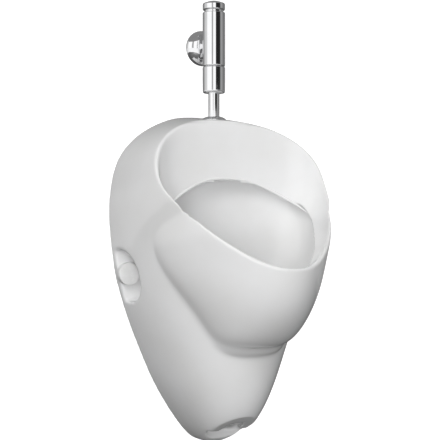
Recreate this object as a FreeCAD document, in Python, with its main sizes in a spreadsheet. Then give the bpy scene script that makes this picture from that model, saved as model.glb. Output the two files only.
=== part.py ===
"""Wall hung urinal with a push-button flush valve, as separate pieces.

Millimetres. The origin lies on the wall, midway between the two fixing screws. +X is to the right
for someone who faces the urinal, -Y points into the room and +Z is up. "Depth" is the distance
from the wall.
"""
import FreeCAD
import Part
import math
import os
import re
import Sketcher

V = FreeCAD.Vector
X_AXIS = V(1, 0, 0)

SIZES = {
    # china
    "china_width": 333, "china_depth": 288, "crown_rise": 251, "foot_drop": 273,
    "china_wall": 11,
    # china's inlet, at the top
    "pipe_depth": 42, "pad_drop": 7.5, "pad_radius": 22, "pad_sink": 20, "inlet_radius": 15,
    "inlet_length": 27, "duct_radius": 11, "spreader_half": 30, "spreader_back": 33,
    "spreader_front": 74, "spreader_drop": 86, "spreader_height": 13,
    "spill_half": 28, "spill_width": 13, "spill_drop": 111,
    # china's outlet, in the sump
    "drain_back": 28, "floor_share": 0.3626, "drain_radius": 21, "seat_radius": 30.3,
    "seat_rise": 16, "boss_radius": 31, "boss_height": 22,
    # slot under the foot
    "slot_half": 33.5, "slot_back": 59, "slot_front": 107, "slot_top": 245,
    "lip_back": 60, "lip_drop": 263, "lip_angle": 28.9,
    # hollows that open at the wall
    "bowl_back_share": 0.191, "space_rise": 94, "space_drop": 60, "sump_space_side": 70.5,
    "sump_space_front": 15, "sump_space_drop": 122,
    # fixing
    "fixing_inset": 26.5, "lug_thickness": 13, "scoop_radius": 41, "scoop_reach": 28,
    "scoop_centre": 25, "scoop_drop": 3, "lug_hole_radius": 6.5,
    "anchor_radius": 5, "anchor_tip": 6, "screw_radius": 4, "screw_in_wall": 45,
    "screw_tip": 0.8, "bush_back": 0.4,
    "bush_gap": 0.2, "bush_flange_radius": 10, "bush_flange": 1.6,
    "washer_radius": 9.5, "washer_thickness": 1.6, "washer_gap": 0.25,
    "nut_across": 13, "nut_height": 6.5,
    "cap_radius": 17.5, "cap_room": 1.2, "cap_wall": 1.6, "cap_round": 2.5,
    # flush pipe
    "pipe_radius": 9, "pipe_bore": 8, "pipe_low": 222, "pipe_high": 303,
    "slip_gap": 0.1, "seal_lip_radius": 18, "seal_lip": 1.6,
    "flange_radius": 20, "flange_height": 6.2, "flange_edge": 1.4, "flange_neck": 2,
    "flange_sweep": 16,
    # outlet sleeve with the air inlet
    "sleeve_low": 287.6, "joint_level": 330, "joint_groove": 1.4, "joint_gap": 0.4,
    "sleeve_draw": 1.2, "draw_height": 20.8, "sleeve_round": 3, "sleeve_lip": 4,
    "spigot_step": 2.7, "spigot_low": 315, "sleeve_shelf": 1, "thread_gap": 0.08,
    "ring_height": 2.4, "cone_height": 8, "cone_taper": 1.9,
    "cage_height": 8.8, "cage_floor": 1.6, "cage_wall": 4.9, "cage_port": 6,
    "cage_slot": 4, "disc_gap": 0.3, "disc_thickness": 1.6,
    "outlet_gasket_height": 2.7,
    # valve body
    "valve_radius": 18.2, "valve_shoulder": 417.2, "neck_step": 3, "neck_wall": 2,
    "valve_edge": 0.8, "chamber_low": 338, "seat_bore": 7,
    "seat_ring": 1.5, "seat_ring_rise": 1.2, "inlet_level": 365, "boss_wall": 3,
    "inlet_boss_depth": 18, "inlet_bore": 7, "socket_gap": 0.1, "neck_socket_end": 27,
    # cartridge
    "cartridge_low": 345, "cartridge_high": 398, "cartridge_wall": 1.6, "cartridge_gap": 0.08,
    "cartridge_port": 4.5, "piston_gap": 0.25, "piston_low": 341.6, "piston_foot": 3,
    "piston_foot_radius": 9.6, "piston_stem": 5, "piston_head_low": 374, "piston_high": 386,
    "pilot_radius": 2.4, "pilot_depth": 9, "washer_seat_height": 2.3, "lip_seal_low": 377,
    "lip_seal_height": 3.2, "lip_seal_groove": 1.4, "running_gap": 0.05,
    "bonnet_low": 398.4, "bonnet_height": 12, "bonnet_stem_gap": 0.08, "o_ring_low": 402,
    "o_ring_height": 2.4, "o_ring_depth": 1.6,
    # push button
    "button_low": 420.6, "button_edge_top": 432.6, "button_top": 436.2, "button_chamfer": 1.6,
    "button_round": 3.2, "button_wall": 2, "button_neck_gap": 0.5, "button_travel": 3.2,
    "button_clear": 0.5,
    "stem_radius": 3, "stem_tip_radius": 1.8, "stem_low": 391, "stem_shoulder": 396.4,
    "hub_radius": 4.5, "hub_low": 426.5, "clip_height": 1, "clip_low": 425.5,
    "spring_radius": 7.2, "spring_wire": 0.7, "spring_pitch": 3.6, "spring_seat": 0.3,
    # inlet neck and rosette
    "inlet_thread": 10.4, "thread_step": 0.5, "neck_bore": 7, "neck_in_wall": 14,
    "neck_collar": 2.5, "neck_collar_back": 15.8, "neck_collar_front": 17.8,
    "neck_end": 25.2, "neck_seal": 1.7,
    "rosette_radius": 28.75, "rosette_flange": 1.8, "rosette_step_radius": 25.6,
    "rosette_step": 8.5, "rosette_bulge": 9, "rosette_depth": 15.5, "rosette_wall": 1.2,
    # waste
    "waste_radius": 17, "waste_bore": 15, "waste_flange_radius": 29, "waste_flange": 2,
    "gasket_height": 2, "waste_low": 84, "bridge_width": 6, "bridge_low": 9, "bridge_height": 6,
    "strainer_radius": 27.5, "strainer_height": 2.2, "strainer_slots": 8, "slot_inner": 8,
    "slot_length": 13, "slot_width": 4, "grid_screw_radius": 2.5, "grid_head_radius": 4.8,
    "grid_head_height": 2.2, "back_nut_across": 48, "back_nut_height": 9,
    "lower_gasket_radius": 27,
    # bottle trap
    "trap_radius": 22.6, "trap_wall": 2.2, "trap_top": 52, "trap_low": 98, "trap_neck": 21,
    "trap_nut_radius": 23.8, "trap_nut_top": 34, "trap_nut_low": 50.5, "trap_nut_wall": 2.4,
    "trap_nut_shelf": 3, "nut_seal_height": 3, "cup_radius": 25, "cup_high": 90, "cup_low": 106,
    "cup_wall": 2.4, "cup_seal_height": 2,
    "outlet_level": 70.5, "outlet_bore": 12, "outlet_reach": 42, "outlet_spigot_radius": 16.5,
    "outlet_nut_radius": 19.8, "outlet_nut_behind": 20, "outlet_nut_ahead": 8,
    "outlet_nut_shelf": 4, "waste_spigot_radius": 16, "waste_step": 0.5,
    "waste_pipe_bore": 14, "outlet_seal": 7, "waste_pipe_in_wall": 30,
}

# Size of the china for which the control rows below are drawn.
DRAWN_WIDTH, DRAWN_DEPTH, DRAWN_CROWN, DRAWN_FOOT = 333.0, 288.0, 251.0, 273.0

# Each row is a level of the outer shell: height, half width at the wall, depth, squareness.
SHELL_ROWS = [
    (251, 30, 6, 2.4), (249, 52, 30, 2.4), (238, 85, 95, 2.5), (214, 124, 212, 3.0),
    (180, 151, 285, 3.4), (140, 161.5, 290, 2.7), (100, 166.5, 268, 2.4), (56, 163, 222, 2.4),
    (0, 156, 190, 2.4), (-60, 139, 183, 2.4), (-120, 114, 173, 2.4), (-170, 92, 163, 2.5),
    (-208, 69.5, 149, 2.7), (-236, 50, 127, 3.2), (-256, 34.5, 98, 3.6), (-270, 20, 70, 3.6),
    (-273, 10, 36, 3.0),
]
# Levels of the bowl's outside: height, half width, depth of the widest place, front depth, taper.
BELLY_ROWS = [
    (150, 146, 100, 292, 0.08), (126, 149, 100, 296, 0.1), (102, 148, 100, 298, 0.13),
    (82, 146.5, 100, 300, 0.17),
    (54, 144.5, 106, 298, 0.21), (24, 138.5, 115, 290, 0.25), (-6, 123, 132, 286, 0.24),
    (-30, 107.5, 143, 279, 0.2), (-54, 91, 151, 266, 0.12), (-80, 75, 157, 243, 0.05),
    (-98, 62, 158, 220, 0.03), (-107, 48, 158, 200, 0.0), (-108, 30, 156, 180, 0.0),
]
SUMP_ROWS = [
    (-70, 74, 150, 190, 0), (-94, 68, 150, 194, 0), (-112, 56, 150, 190, 0),
    (-121, 42, 150, 180, 0), (-122, 22, 150, 168, 0),
]
# Levels of the bowl's inside: height, half width, widest place, front, back, taper.
BOWL_ROWS = [
    (160, 112, 110, 300, 50, 0.0), (130, 124.5, 112, 300, 54, 0.1),
    (90, 138.5, 112, 291, 58, 0.2), (54, 136, 113, 285, 62, 0.23), (24, 130, 118, 279, 66, 0.25),
    (-6, 114, 130, 275, 72, 0.22),
    (-30, 99, 138, 266, 76, 0.2), (-60, 80, 140, 248, 82, 0.12), (-86, 60, 136, 215, 87, 0.05),
    (-95, 42, 130, 180, 90, 0.0), (-96, 24, 122, 150, 93, 0.0),
]
# Levels of the hood's dish, measured square to the rim's plane.
HOOD_ROWS = [
    (45, 165, 100, 335, -70, 0.2), (20, 158, 108, 318, -28, 0.28), (0, 149, 116, 305, 6, 0.33),
    (-20, 146, 124, 302, 33, 0.36), (-45, 134, 142, 290, 64, 0.34),
    (-66, 120, 155, 275, 92, 0.3), (-85, 100, 165, 260, 110, 0.3),
]
HOOD_TILT = 46.2
# Side view of the rim and of the ledge under the hood: depth, height.
RIM_LINE = [
    (73, 237), (90, 227), (108, 203.5), (126, 173), (144, 141.5), (171, 113.5), (213, 75.5),
    (250, 43), (277, 21.5), (290, 14.5),
]
LEDGE_LINE = [
    (20, 158), (88, 147), (100, 126), (118, 105), (142, 79.5), (170, 54.5), (205, 31), (240, 13),
    (284, 6),
]
# Levels of the hollow in the foot: height, half width, depth; the first starts at the drain's boss.
# One side of its outline follows, as shares of that half width and depth.
HOLLOW_LEVELS = [(-121, 101, 161), (-208, 58, 141), (-247, 31, 101)]
HOLLOW_OUTLINE = [(1, 0), (0.95, 0.37), (0.78, 0.69), (0.5, 0.91), (0.24, 1)]

POLES = 12
POLE_REACH = 3 / (2 + math.cos(2 * math.pi / POLES))
FAR = 400.0
SPRING_SIDES = 6

doc = FreeCAD.newDocument("WallHungUrinal")
sheet = doc.addObject("Spreadsheet::Sheet", "Sizes")
for row, (alias, number) in enumerate(SIZES.items(), start=1):
    sheet.set(f"A{row}", alias.replace("_", " "))
    sheet.set(f"B{row}", str(number))
    sheet.setAlias(f"B{row}", alias)
doc.recompute()
pieces = []


def linked(formula):
    """Give the expression that reads the sheet's cells for a formula of aliases."""
    return re.sub(r"\b[a-z][a-z_]*\b(?!\()", lambda word: "Sizes." + word.group(0), formula)


def value(formula):
    """Work a formula of aliases out."""
    return float(sheet.evalExpression(linked(formula)))


def stretch_x(x):
    """Scale a drawn half width to the china's width."""
    return x * value("china_width") / DRAWN_WIDTH


def stretch_depth(depth):
    """Scale a drawn depth to the china's depth."""
    return depth * value("china_depth") / DRAWN_DEPTH


def stretch_z(height):
    """Scale a drawn height to the crown above the fixings, or to the foot below them."""
    if height > 0:
        return height * value("crown_rise") / DRAWN_CROWN
    return height * value("foot_drop") / DRAWN_FOOT


# ---------------------------------------------------------------- freeform china surfaces
def signed_power(number, exponent):
    """Raise a number's size to a power and keep its sign."""
    return math.copysign(abs(number) ** exponent, number)


def oval(height, half, widest, front, back, taper, squareness=2.0):
    """Give the poles of a closed outline at one level, widest at one depth."""
    poles = []
    for index in range(POLES):
        angle = 2 * math.pi * index / POLES
        across = signed_power(math.cos(angle), 2 / squareness)
        along = signed_power(math.sin(angle), 2 / squareness)
        reach = (front - widest) if along > 0 else (widest - back)
        x = half * across * (1 - taper * max(along, 0.0)) * POLE_REACH
        poles.append(V(x, -(widest + reach * along * POLE_REACH), height))
    return poles


def drawn_oval(height, half, widest, front, back, taper, squareness=2.0):
    """Give the poles of one level, scaled from the drawn china to the real one."""
    return oval(stretch_z(height), stretch_x(half), stretch_depth(widest), stretch_depth(front),
                stretch_depth(back), taper, squareness)


def lofted(levels):
    """Make a solid whose side is one smooth surface over the levels, with flat ends."""
    degree = 3
    spans = len(levels) - degree
    knots = [4] + [1] * (spans - 1) + [4]
    side = Part.BSplineSurface()
    side.buildFromPolesMultsKnots(
        [list(column) for column in zip(*levels)], [1] * (POLES + 1), knots,
        [float(i) for i in range(POLES + 1)], [float(i) for i in range(spans + 1)],
        True, False, degree, degree)
    ends = [Part.Face(Part.Wire([side.vIso(level).toShape()])) for level in (0, spans)]
    shell = Part.Shell([side.toShape()] + ends)
    shell.sewShape()
    solid = Part.Solid(shell)
    if solid.Volume < 0:
        solid.reverse()
    return solid


def prism(points, smooth, closing, half_width):
    """Make a prism across the china from a side view: a smooth line, closed by straight runs."""
    at = lambda point: V(-half_width, -point[0], point[1])
    curve = Part.BSplineCurve()
    curve.interpolate([at(point) for point in points])
    edges = [curve.toShape()] if smooth else []
    corners = [points[-1]] + closing + [points[0]]
    edges += [Part.LineSegment(at(p), at(q)).toShape() for p, q in zip(corners, corners[1:])]
    return Part.Face(Part.Wire(edges)).extrude(V(2 * half_width, 0, 0))


def feature(name, shape):
    """Add a shape that Part's functions made to the document."""
    made = doc.addObject("Part::Feature", name)
    made.Shape = shape
    return made


# ---------------------------------------------------------------- plain solids bound to the sheet
def bind(thing, **formulas):
    """Bind properties to formulas of aliases. Two underscores stand for a dot."""
    for name, formula in formulas.items():
        thing.setExpression(name.replace("__", "."), linked(str(formula)))
    return thing


def placed(thing, x="0", depth="0", height="0", turn=None):
    """Put a thing at a place given by formulas, turned first if asked."""
    if turn:
        thing.Placement = FreeCAD.Placement(V(), FreeCAD.Rotation(*turn))
    return bind(thing, Placement__Base__x=x, Placement__Base__y=f"-({depth})",
                Placement__Base__z=height)


def box(name, x, depth, height, corner):
    """Add a box: its width, depth and height, and the corner nearest the room, low and left."""
    made = doc.addObject("Part::Box", name)
    bind(made, Length=x, Width=depth, Height=height)
    return placed(made, *corner)


def rod(name, radius, length, x="0", depth="0", height="0", turn=None):
    """Add a cylinder that stands on a place, upright unless turned."""
    made = doc.addObject("Part::Cylinder", name)
    bind(made, Radius=radius, Height=length)
    return placed(made, x, depth, height, turn)


def joined(name, shapes):
    """Fuse several solids into one."""
    made = doc.addObject("Part::MultiFuse", name)
    made.Shapes = shapes
    made.Refine = True
    return made


def without(name, base, tool):
    """Cut one solid from another."""
    made = doc.addObject("Part::Cut", name)
    made.Base = base
    made.Tool = tool
    return made


OUT_OF_WALL = (X_AXIS, 90)
ALONG_X = (V(0, 1, 0), 90)


def piece(thing, node):
    """Register a finished sub-part under its node's name."""
    thing.Label = node
    pieces.append(thing)
    return thing


# ---------------------------------------------------------------- turned pieces
def profile_sketch(body, name, corners):
    """Draw a closed outline of (across, up) formulas; a third entry rounds the next side.

    The third entry is a radius; it is positive when the side bulges to the right of the way on.
    """
    plane = [item for item in body.Origin.OriginFeatures if item.Role == "XZ_Plane"][0]
    sketch = body.newObject("Sketcher::SketchObject", name)
    sketch.AttachmentSupport = [(plane, "")]
    sketch.MapMode = "FlatFace"
    spots = [V(value(corner[0]), value(corner[1]), 0) for corner in corners]
    count = len(corners)
    starts, ends, bends = [], [], []
    for index, corner in enumerate(corners):
        here, there = spots[index], spots[(index + 1) % count]
        if len(corner) < 3:
            sketch.addGeometry(Part.LineSegment(here, there), False)
            starts.append(1)
            ends.append(2)
            continue
        radius = value(corner[2])
        chord = there - here
        right = V(chord.y, -chord.x, 0).normalize()
        rise = abs(radius) - math.sqrt(radius ** 2 - chord.Length ** 2 / 4)
        middle = (here + there) / 2 + right * math.copysign(rise, radius)
        first, last = (here, there) if radius > 0 else (there, here)
        sketch.addGeometry(Part.Arc(first, middle, last), False)
        starts.append(1 if radius > 0 else 2)
        ends.append(2 if radius > 0 else 1)
        bends.append((index, corner[2].lstrip("-")))
    for index in range(count):
        following = (index + 1) % count
        sketch.addConstraint(
            Sketcher.Constraint("Coincident", index, ends[index], following, starts[following]))
    for index, spot in enumerate(spots):
        for kind, amount, formula in (("DistanceX", spot.x, corners[index][0]),
                                      ("DistanceY", spot.y, corners[index][1])):
            rule = sketch.addConstraint(
                Sketcher.Constraint(kind, -1, 1, index, starts[index], amount))
            sketch.setExpression(f"Constraints[{rule}]", linked(formula))
    for index, formula in bends:
        rule = sketch.addConstraint(Sketcher.Constraint("Radius", index, abs(value(formula))))
        sketch.setExpression(f"Constraints[{rule}]", linked(formula))
    return sketch


def dome(radius_1, height_1, radius_2, height_2):
    """Give the formula of the sphere's radius whose centre is on the axis, through two points."""
    centre = (f"((({radius_2})^2 + ({height_2})^2 - ({radius_1})^2 - ({height_1})^2)"
              f" / (2 * (({height_2}) - ({height_1}))))")
    return f"sqrt(({radius_1})^2 + ({height_1} - {centre})^2)"


def turned(name, corners):
    """Make a body by revolving an outline about the body's own upright axis."""
    body = doc.addObject("PartDesign::Body", name)
    sketch = profile_sketch(body, name + "_outline", corners)
    revolution = body.newObject("PartDesign::Revolution", name + "_turning")
    revolution.Profile = (sketch, [""])
    revolution.ReferenceAxis = (sketch, ["V_Axis"])
    revolution.Angle = 360
    sketch.Visibility = False
    doc.recompute()
    return body


def tube(name, inner, outer, low, high):
    """Make a plain ring or tube between two heights."""
    return turned(name, [(inner, low), (outer, low), (outer, high), (inner, high)])


def pair(name, source):
    """Put one fixing piece on each side: the same solid at both fixing screws."""
    sides = []
    for side, sign in (("left", "-"), ("right", "")):
        copy = doc.addObject("Part::Feature", f"{name}_{side}")
        copy.Shape = source.Shape
        copy.Placement = FreeCAD.Placement(V(), FreeCAD.Rotation(*OUT_OF_WALL))
        sides.append(bind(copy, Placement__Base__x=f"{sign}{FIXING}"))
    both = doc.addObject("Part::Compound", name)
    both.Links = sides
    return piece(both, name)


def hexagon(name, across, low, high):
    """Make an upright six-sided prism from the distance across its flats."""
    made = doc.addObject("Part::Prism", name)
    made.Polygon = 6
    bind(made, Circumradius=f"({across}) / 1.7320508", Height=f"({high}) - ({low})")
    return placed(made, height=low)


FLOOR = "-foot_drop * floor_share"
PAD = "crown_rise - pad_drop"
DRAIN = "(china_depth / 2 - drain_back)"
FIXING = "(china_width / 2 - fixing_inset)"
SCOOP = f"({FIXING} - scoop_reach)"
NECK_TOP = "button_edge_top - button_wall - button_travel - button_clear"
OUTLET_FACE = f"({DRAIN} - outlet_reach)"
VALVE_NECK = "(valve_radius - neck_step)"
CHAMBER = "(valve_radius - neck_step - neck_wall)"
SPIGOT = "(valve_radius - spigot_step)"
SLEEVE_BORE = "(valve_radius - spigot_step - sleeve_shelf)"
CAGE_TOP = "(spigot_low - outlet_gasket_height)"
CAGE_LOW = "(spigot_low - outlet_gasket_height - cage_height)"
CAGE_GUIDE = f"({SLEEVE_BORE} - slip_gap - cage_wall)"
NECK_RUN = "(inlet_thread - thread_step)"
WASTE_RUN = "(waste_spigot_radius - waste_step)"


# ---------------------------------------------------------------- china
def china_outside():
    """Fuse the shell, the bowl's outside and the sump, and cut them flat at the wall."""
    beyond = stretch_depth(40)
    shell_levels = []
    for height, half, depth, squareness in SHELL_ROWS:
        reach = stretch_depth(depth) + beyond
        full = stretch_x(half) / (1 - (beyond / reach) ** squareness) ** (1 / squareness)
        shell_levels.append(oval(stretch_z(height), full, -beyond, reach - beyond,
                                 -beyond - reach, 0.0, squareness))
    belly = [drawn_oval(z, half, widest, front, widest - 70, taper)
             for z, half, widest, front, taper in BELLY_ROWS]
    sump = [drawn_oval(z, half, widest, front, widest - 60, taper, 2.2)
            for z, half, widest, front, taper in SUMP_ROWS]
    boss = rod("drain_boss", "boss_radius", "boss_height + 6", depth=DRAIN,
               height=f"{FLOOR} - boss_height")
    pad = rod("inlet_pad", "pad_radius", "pad_sink", depth="pipe_depth",
              height=f"{PAD} - pad_sink")
    lumps = joined("china_lumps", [feature("shell_form", lofted(shell_levels)),
                                   feature("belly_form", lofted(belly)),
                                   feature("sump_form", lofted(sump)), boss, pad])
    behind = doc.addObject("Part::Box", "behind_wall")
    behind.Length, behind.Width, behind.Height = 2 * FAR, FAR, 2 * FAR
    behind.Placement.Base = V(-FAR, 0, -FAR)
    return without("china_blank", lumps, behind)


def rim_cutter():
    """Everything in front of and above the rim, as a side-view prism."""
    rim = [(stretch_depth(depth), stretch_z(height)) for depth, height in RIM_LINE]
    far = [(FAR, rim[-1][1]), (FAR, FAR), (60, FAR), (68, rim[0][1] + 13)]
    return feature("rim_cutter", prism(rim, True, far, FAR / 2))


def hood_cutter():
    """The shallow dish that the hood and the rim enclose, square to the rim's plane."""
    levels = [oval(stretch_z(w), stretch_x(half), stretch_depth(widest), stretch_depth(front),
                   stretch_depth(back), taper)
              for w, half, widest, front, back, taper in reversed(HOOD_ROWS)]
    made = feature("hood_cutter", lofted(levels))
    made.Placement = FreeCAD.Placement(
        V(0, -stretch_depth(RIM_LINE[0][0]), stretch_z(RIM_LINE[0][1])),
        FreeCAD.Rotation(X_AXIS, HOOD_TILT))
    return made


def bowl_cutter():
    """The bowl, whose top is the ledge under the hood."""
    levels = [drawn_oval(*level) for level in reversed(BOWL_ROWS)]
    ledge = [(stretch_depth(depth), stretch_z(height)) for depth, height in LEDGE_LINE]
    above = prism(ledge, True, [(FAR, ledge[-1][1]), (FAR, FAR), (20, FAR)], FAR / 2)
    return feature("bowl_cutter", lofted(levels).cut(above))


def water_way():
    """The hole for the flush pipe, and the chamber and slot that spread the water."""
    spot = rod("pad_clearing", "pad_radius + 3", "pad_sink", depth="pipe_depth", height=PAD)
    hole = rod("inlet_hole", "inlet_radius", "inlet_length + 1", depth="pipe_depth",
               height=f"{PAD} - inlet_length")
    low = "crown_rise - spreader_drop"
    duct = rod("duct", "duct_radius", "spreader_drop - pad_drop - 2", depth="pipe_depth",
               height=f"{low} + 2")
    chamber = box("spreader", "2 * spreader_half", "spreader_front - spreader_back",
                  "spreader_height", ("-spreader_half", "spreader_front", low))
    spill = box("spill_slot", "2 * spill_half", "spill_width",
                "spill_drop - spreader_drop + spreader_height / 2",
                ("-spill_half", "spreader_front - 1", "crown_rise - spill_drop"))
    return [spot, hole, duct, chamber, spill]


def drain():
    """The drain hole and the flat seat for the waste's flange."""
    hole = rod("drain_hole", "drain_radius", "boss_height + seat_rise", depth=DRAIN,
               height=f"{FLOOR} - boss_height - 1")
    seat = rod("drain_seat", "seat_radius", "seat_rise", depth=DRAIN, height=FLOOR)
    return [hole, seat]


def hollow():
    """The space behind the bowl and inside the foot, open at the wall, with flat sides."""
    half, front = f"({SCOOP} - china_wall - 3)", "china_depth * bowl_back_share - china_wall"
    upper = box("space_behind_bowl", f"2 * {half}", f"{front} + 1", "space_rise + space_drop",
                (f"-{half}", front, "-space_drop"))
    half = "(china_width / 2 - sump_space_side)"
    front = f"{DRAIN} - boss_radius - sump_space_front"
    middle = box("space_behind_sump", f"2 * {half}", f"{front} + 1",
                 "sump_space_drop - space_drop + 1", (f"-{half}", front, "-sump_space_drop"))
    wires = []
    for index, (height, half, depth) in enumerate(HOLLOW_LEVELS):
        half, depth = stretch_x(half), stretch_depth(depth)
        level = stretch_z(height) if index else value(f"{FLOOR} - boss_height")
        right = [V(half * across, 1 - (depth + 1) * along, level)
                 for across, along in HOLLOW_OUTLINE]
        corners = right + [V(-corner.x, corner.y, corner.z) for corner in reversed(right)]
        wires.append(Part.makePolygon(corners + corners[:1]))
    lower = feature("hollow_in_foot", Part.makeLoft(wires, True, True))
    return [upper, middle, lower]


def foot_slot():
    """The oval opening under the foot and the slanting cut across its end."""
    centre = "(slot_back + slot_front) / 2"
    across = Part.Ellipse(V(0, -value(centre), 0), value("slot_half"),
                          value("slot_front - slot_back") / 2)
    opening = Part.Face(Part.Wire([across.toShape()])).extrude(V(0, 0, -60))
    opening.translate(V(0, 0, -value("slot_top")))
    cut = doc.addObject("Part::Box", "slant_cut")
    cut.Length, cut.Width, cut.Height = FAR, FAR, FAR / 2
    lip = V(0, -value("lip_back"), -value("lip_drop"))
    tilt = FreeCAD.Rotation(X_AXIS, -value("lip_angle"))
    cut.Placement = FreeCAD.Placement(lip + tilt.multVec(V(-FAR / 2, -FAR / 2, -FAR / 2)), tilt)
    return [feature("slot_opening", opening), cut]


def side_scoops():
    """The round scoops that give a spanner room, and the screw holes through the lugs."""
    cutters = []
    for side, sign in (("left", "-"), ("right", "")):
        start = f"-{SCOOP} - 100" if sign else SCOOP
        barrel = rod(f"scoop_{side}", "scoop_radius", "100", start, "scoop_centre",
                     "-scoop_drop", ALONG_X)
        lug = box(f"lug_{side}", "104", "lug_thickness + 60", "200",
                  (f"{start} - 2", "lug_thickness", "-100"))
        cutters.append(without(f"scoop_{side}_cutter", barrel, lug))
        cutters.append(rod(f"screw_hole_{side}", "lug_hole_radius", "lug_thickness + 2",
                           f"{sign}{FIXING}", "-1", "0", OUT_OF_WALL))
    return cutters


def make_china():
    """Cut every hollow from the blank, one after another."""
    cutters = [rim_cutter(), hood_cutter(), bowl_cutter()] + hollow() + foot_slot()
    china = china_outside()
    for index, cutter in enumerate(cutters + water_way() + drain() + side_scoops()):
        china = without(f"china_cut_{index}", china, cutter)
    piece(china, "urinal_body")


# ---------------------------------------------------------------- fixing
def make_fixings():
    """Screws out of the wall, with bush, washer, nut and cap on each side."""
    bush_front = "lug_thickness + bush_flange"
    nut_low = f"{bush_front} + washer_thickness"
    nut_top = f"{nut_low} + nut_height"
    screw_end = f"{nut_top} + screw_tip"
    screw = turned("screw_pattern", [
        ("0", "-screw_in_wall"), ("anchor_radius", "anchor_tip - screw_in_wall"),
        ("anchor_radius", "0"), ("screw_radius", "0"), ("screw_radius", screw_end),
        ("0", screw_end)])
    bush = turned("bush_pattern", [
        ("screw_radius + bush_gap", "bush_back"), ("lug_hole_radius - bush_gap", "bush_back"),
        ("lug_hole_radius - bush_gap", "lug_thickness"), ("bush_flange_radius", "lug_thickness"),
        ("bush_flange_radius", bush_front), ("screw_radius + bush_gap", bush_front)])
    washer = tube("washer_pattern", "screw_radius + washer_gap", "washer_radius", bush_front,
                  nut_low)
    block = hexagon("nut_block", "nut_across", nut_low, nut_top)
    nut = without("nut_pattern", block,
                  rod("nut_thread", "screw_radius + thread_gap", "nut_height + 2",
                      height=f"{nut_low} - 1"))
    inner, ceiling = "cap_radius - cap_wall", f"{nut_top} + cap_room"
    front = f"{ceiling} + cap_wall"
    cap = turned("cap_pattern", [
        (inner, "lug_thickness"), ("cap_radius", "lug_thickness"),
        ("cap_radius", f"{front} - cap_round", "cap_round * 1.0001"),
        ("cap_radius - cap_round", front), ("0", front), ("0", ceiling), (inner, ceiling)])
    doc.recompute()
    for node, source in (("fixing_screws", screw), ("fixing_bushes", bush),
                         ("fixing_washers", washer), ("fixing_nuts", nut), ("cover_caps", cap)):
        pair(node, source)


# ---------------------------------------------------------------- flush pipe and outlet sleeve
def on_pipe(body, node, height="0"):
    """Place a turned body on the flush pipe's axis."""
    return piece(placed(body, depth="pipe_depth", height=height), node)


def make_flush_pipe():
    """The pipe, the rubber that seals it in the china and the flange that hides the rubber."""
    on_pipe(tube("pipe", "pipe_bore", "pipe_radius", "pipe_low", "pipe_high"), "flush_pipe")
    seal_outer = "inlet_radius - slip_gap * 3"
    on_pipe(turned("seal", [
        ("pipe_radius + slip_gap", "2 - inlet_length"), (seal_outer, "2 - inlet_length"),
        (seal_outer, "0"), ("seal_lip_radius", "0"), ("seal_lip_radius", "seal_lip"),
        ("pipe_radius + slip_gap", "seal_lip")]), "pipe_seal", PAD)
    on_pipe(turned("flange", [
        ("pipe_radius + slip_gap * 2", "seal_lip"), ("flange_radius - 1.2", "seal_lip"),
        ("flange_radius - 1.2", "0"), ("flange_radius", "0"),
        ("flange_radius", "flange_edge", "flange_sweep"), ("pipe_radius + flange_neck", "flange_height"),
        ("pipe_radius + slip_gap * 2", "flange_height")]), "pipe_flange", PAD)


def make_outlet_sleeve():
    """The nut under the valve, with the cone seal, the slip ring and the air inlet inside."""
    shelf, foot = "sleeve_low + sleeve_lip", "valve_radius - sleeve_draw"
    on_pipe(turned("sleeve", [
        ("pipe_radius + slip_gap * 3", "sleeve_low"),
        (f"{foot} - sleeve_round", "sleeve_low", "sleeve_round * 1.0001"),
        (foot, "sleeve_low + sleeve_round"), ("valve_radius", "joint_level - draw_height"),
        ("valve_radius", "joint_level - joint_groove"),
        ("valve_radius - joint_groove", "joint_level"),
        (f"{SPIGOT} + thread_gap", "joint_level"), (f"{SPIGOT} + thread_gap", "spigot_low - 1"),
        (SLEEVE_BORE, "spigot_low - 1"), (SLEEVE_BORE, shelf),
        ("pipe_radius + slip_gap * 3", shelf)]), "outlet_sleeve")
    ring_top, inside = f"{shelf} + ring_height", f"{SLEEVE_BORE} - slip_gap"
    on_pipe(tube("slip_ring", "pipe_radius + slip_gap", inside, shelf,
                 ring_top), "slip_ring")
    on_pipe(turned("cone", [
        ("pipe_radius + slip_gap", ring_top), (inside, ring_top),
        (inside, f"{ring_top} + cone_height / 2"),
        (f"{inside} - cone_taper", f"{ring_top} + cone_height"),
        ("pipe_radius + slip_gap", f"{ring_top} + cone_height")]), "cone_seal")
    on_pipe(make_cage(), "breaker_insert")
    low, edge = f"{CAGE_LOW} + cage_floor", f"{CAGE_GUIDE} - disc_gap"
    on_pipe(turned("disc", [("0", low), (edge, low), (edge, f"{low} + disc_thickness"),
                            ("0", f"{low} + disc_thickness")]), "breaker_disc")
    on_pipe(tube("outlet_gasket", "seat_bore + 2", inside,
                 CAGE_TOP, "spigot_low"), "outlet_gasket")


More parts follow.
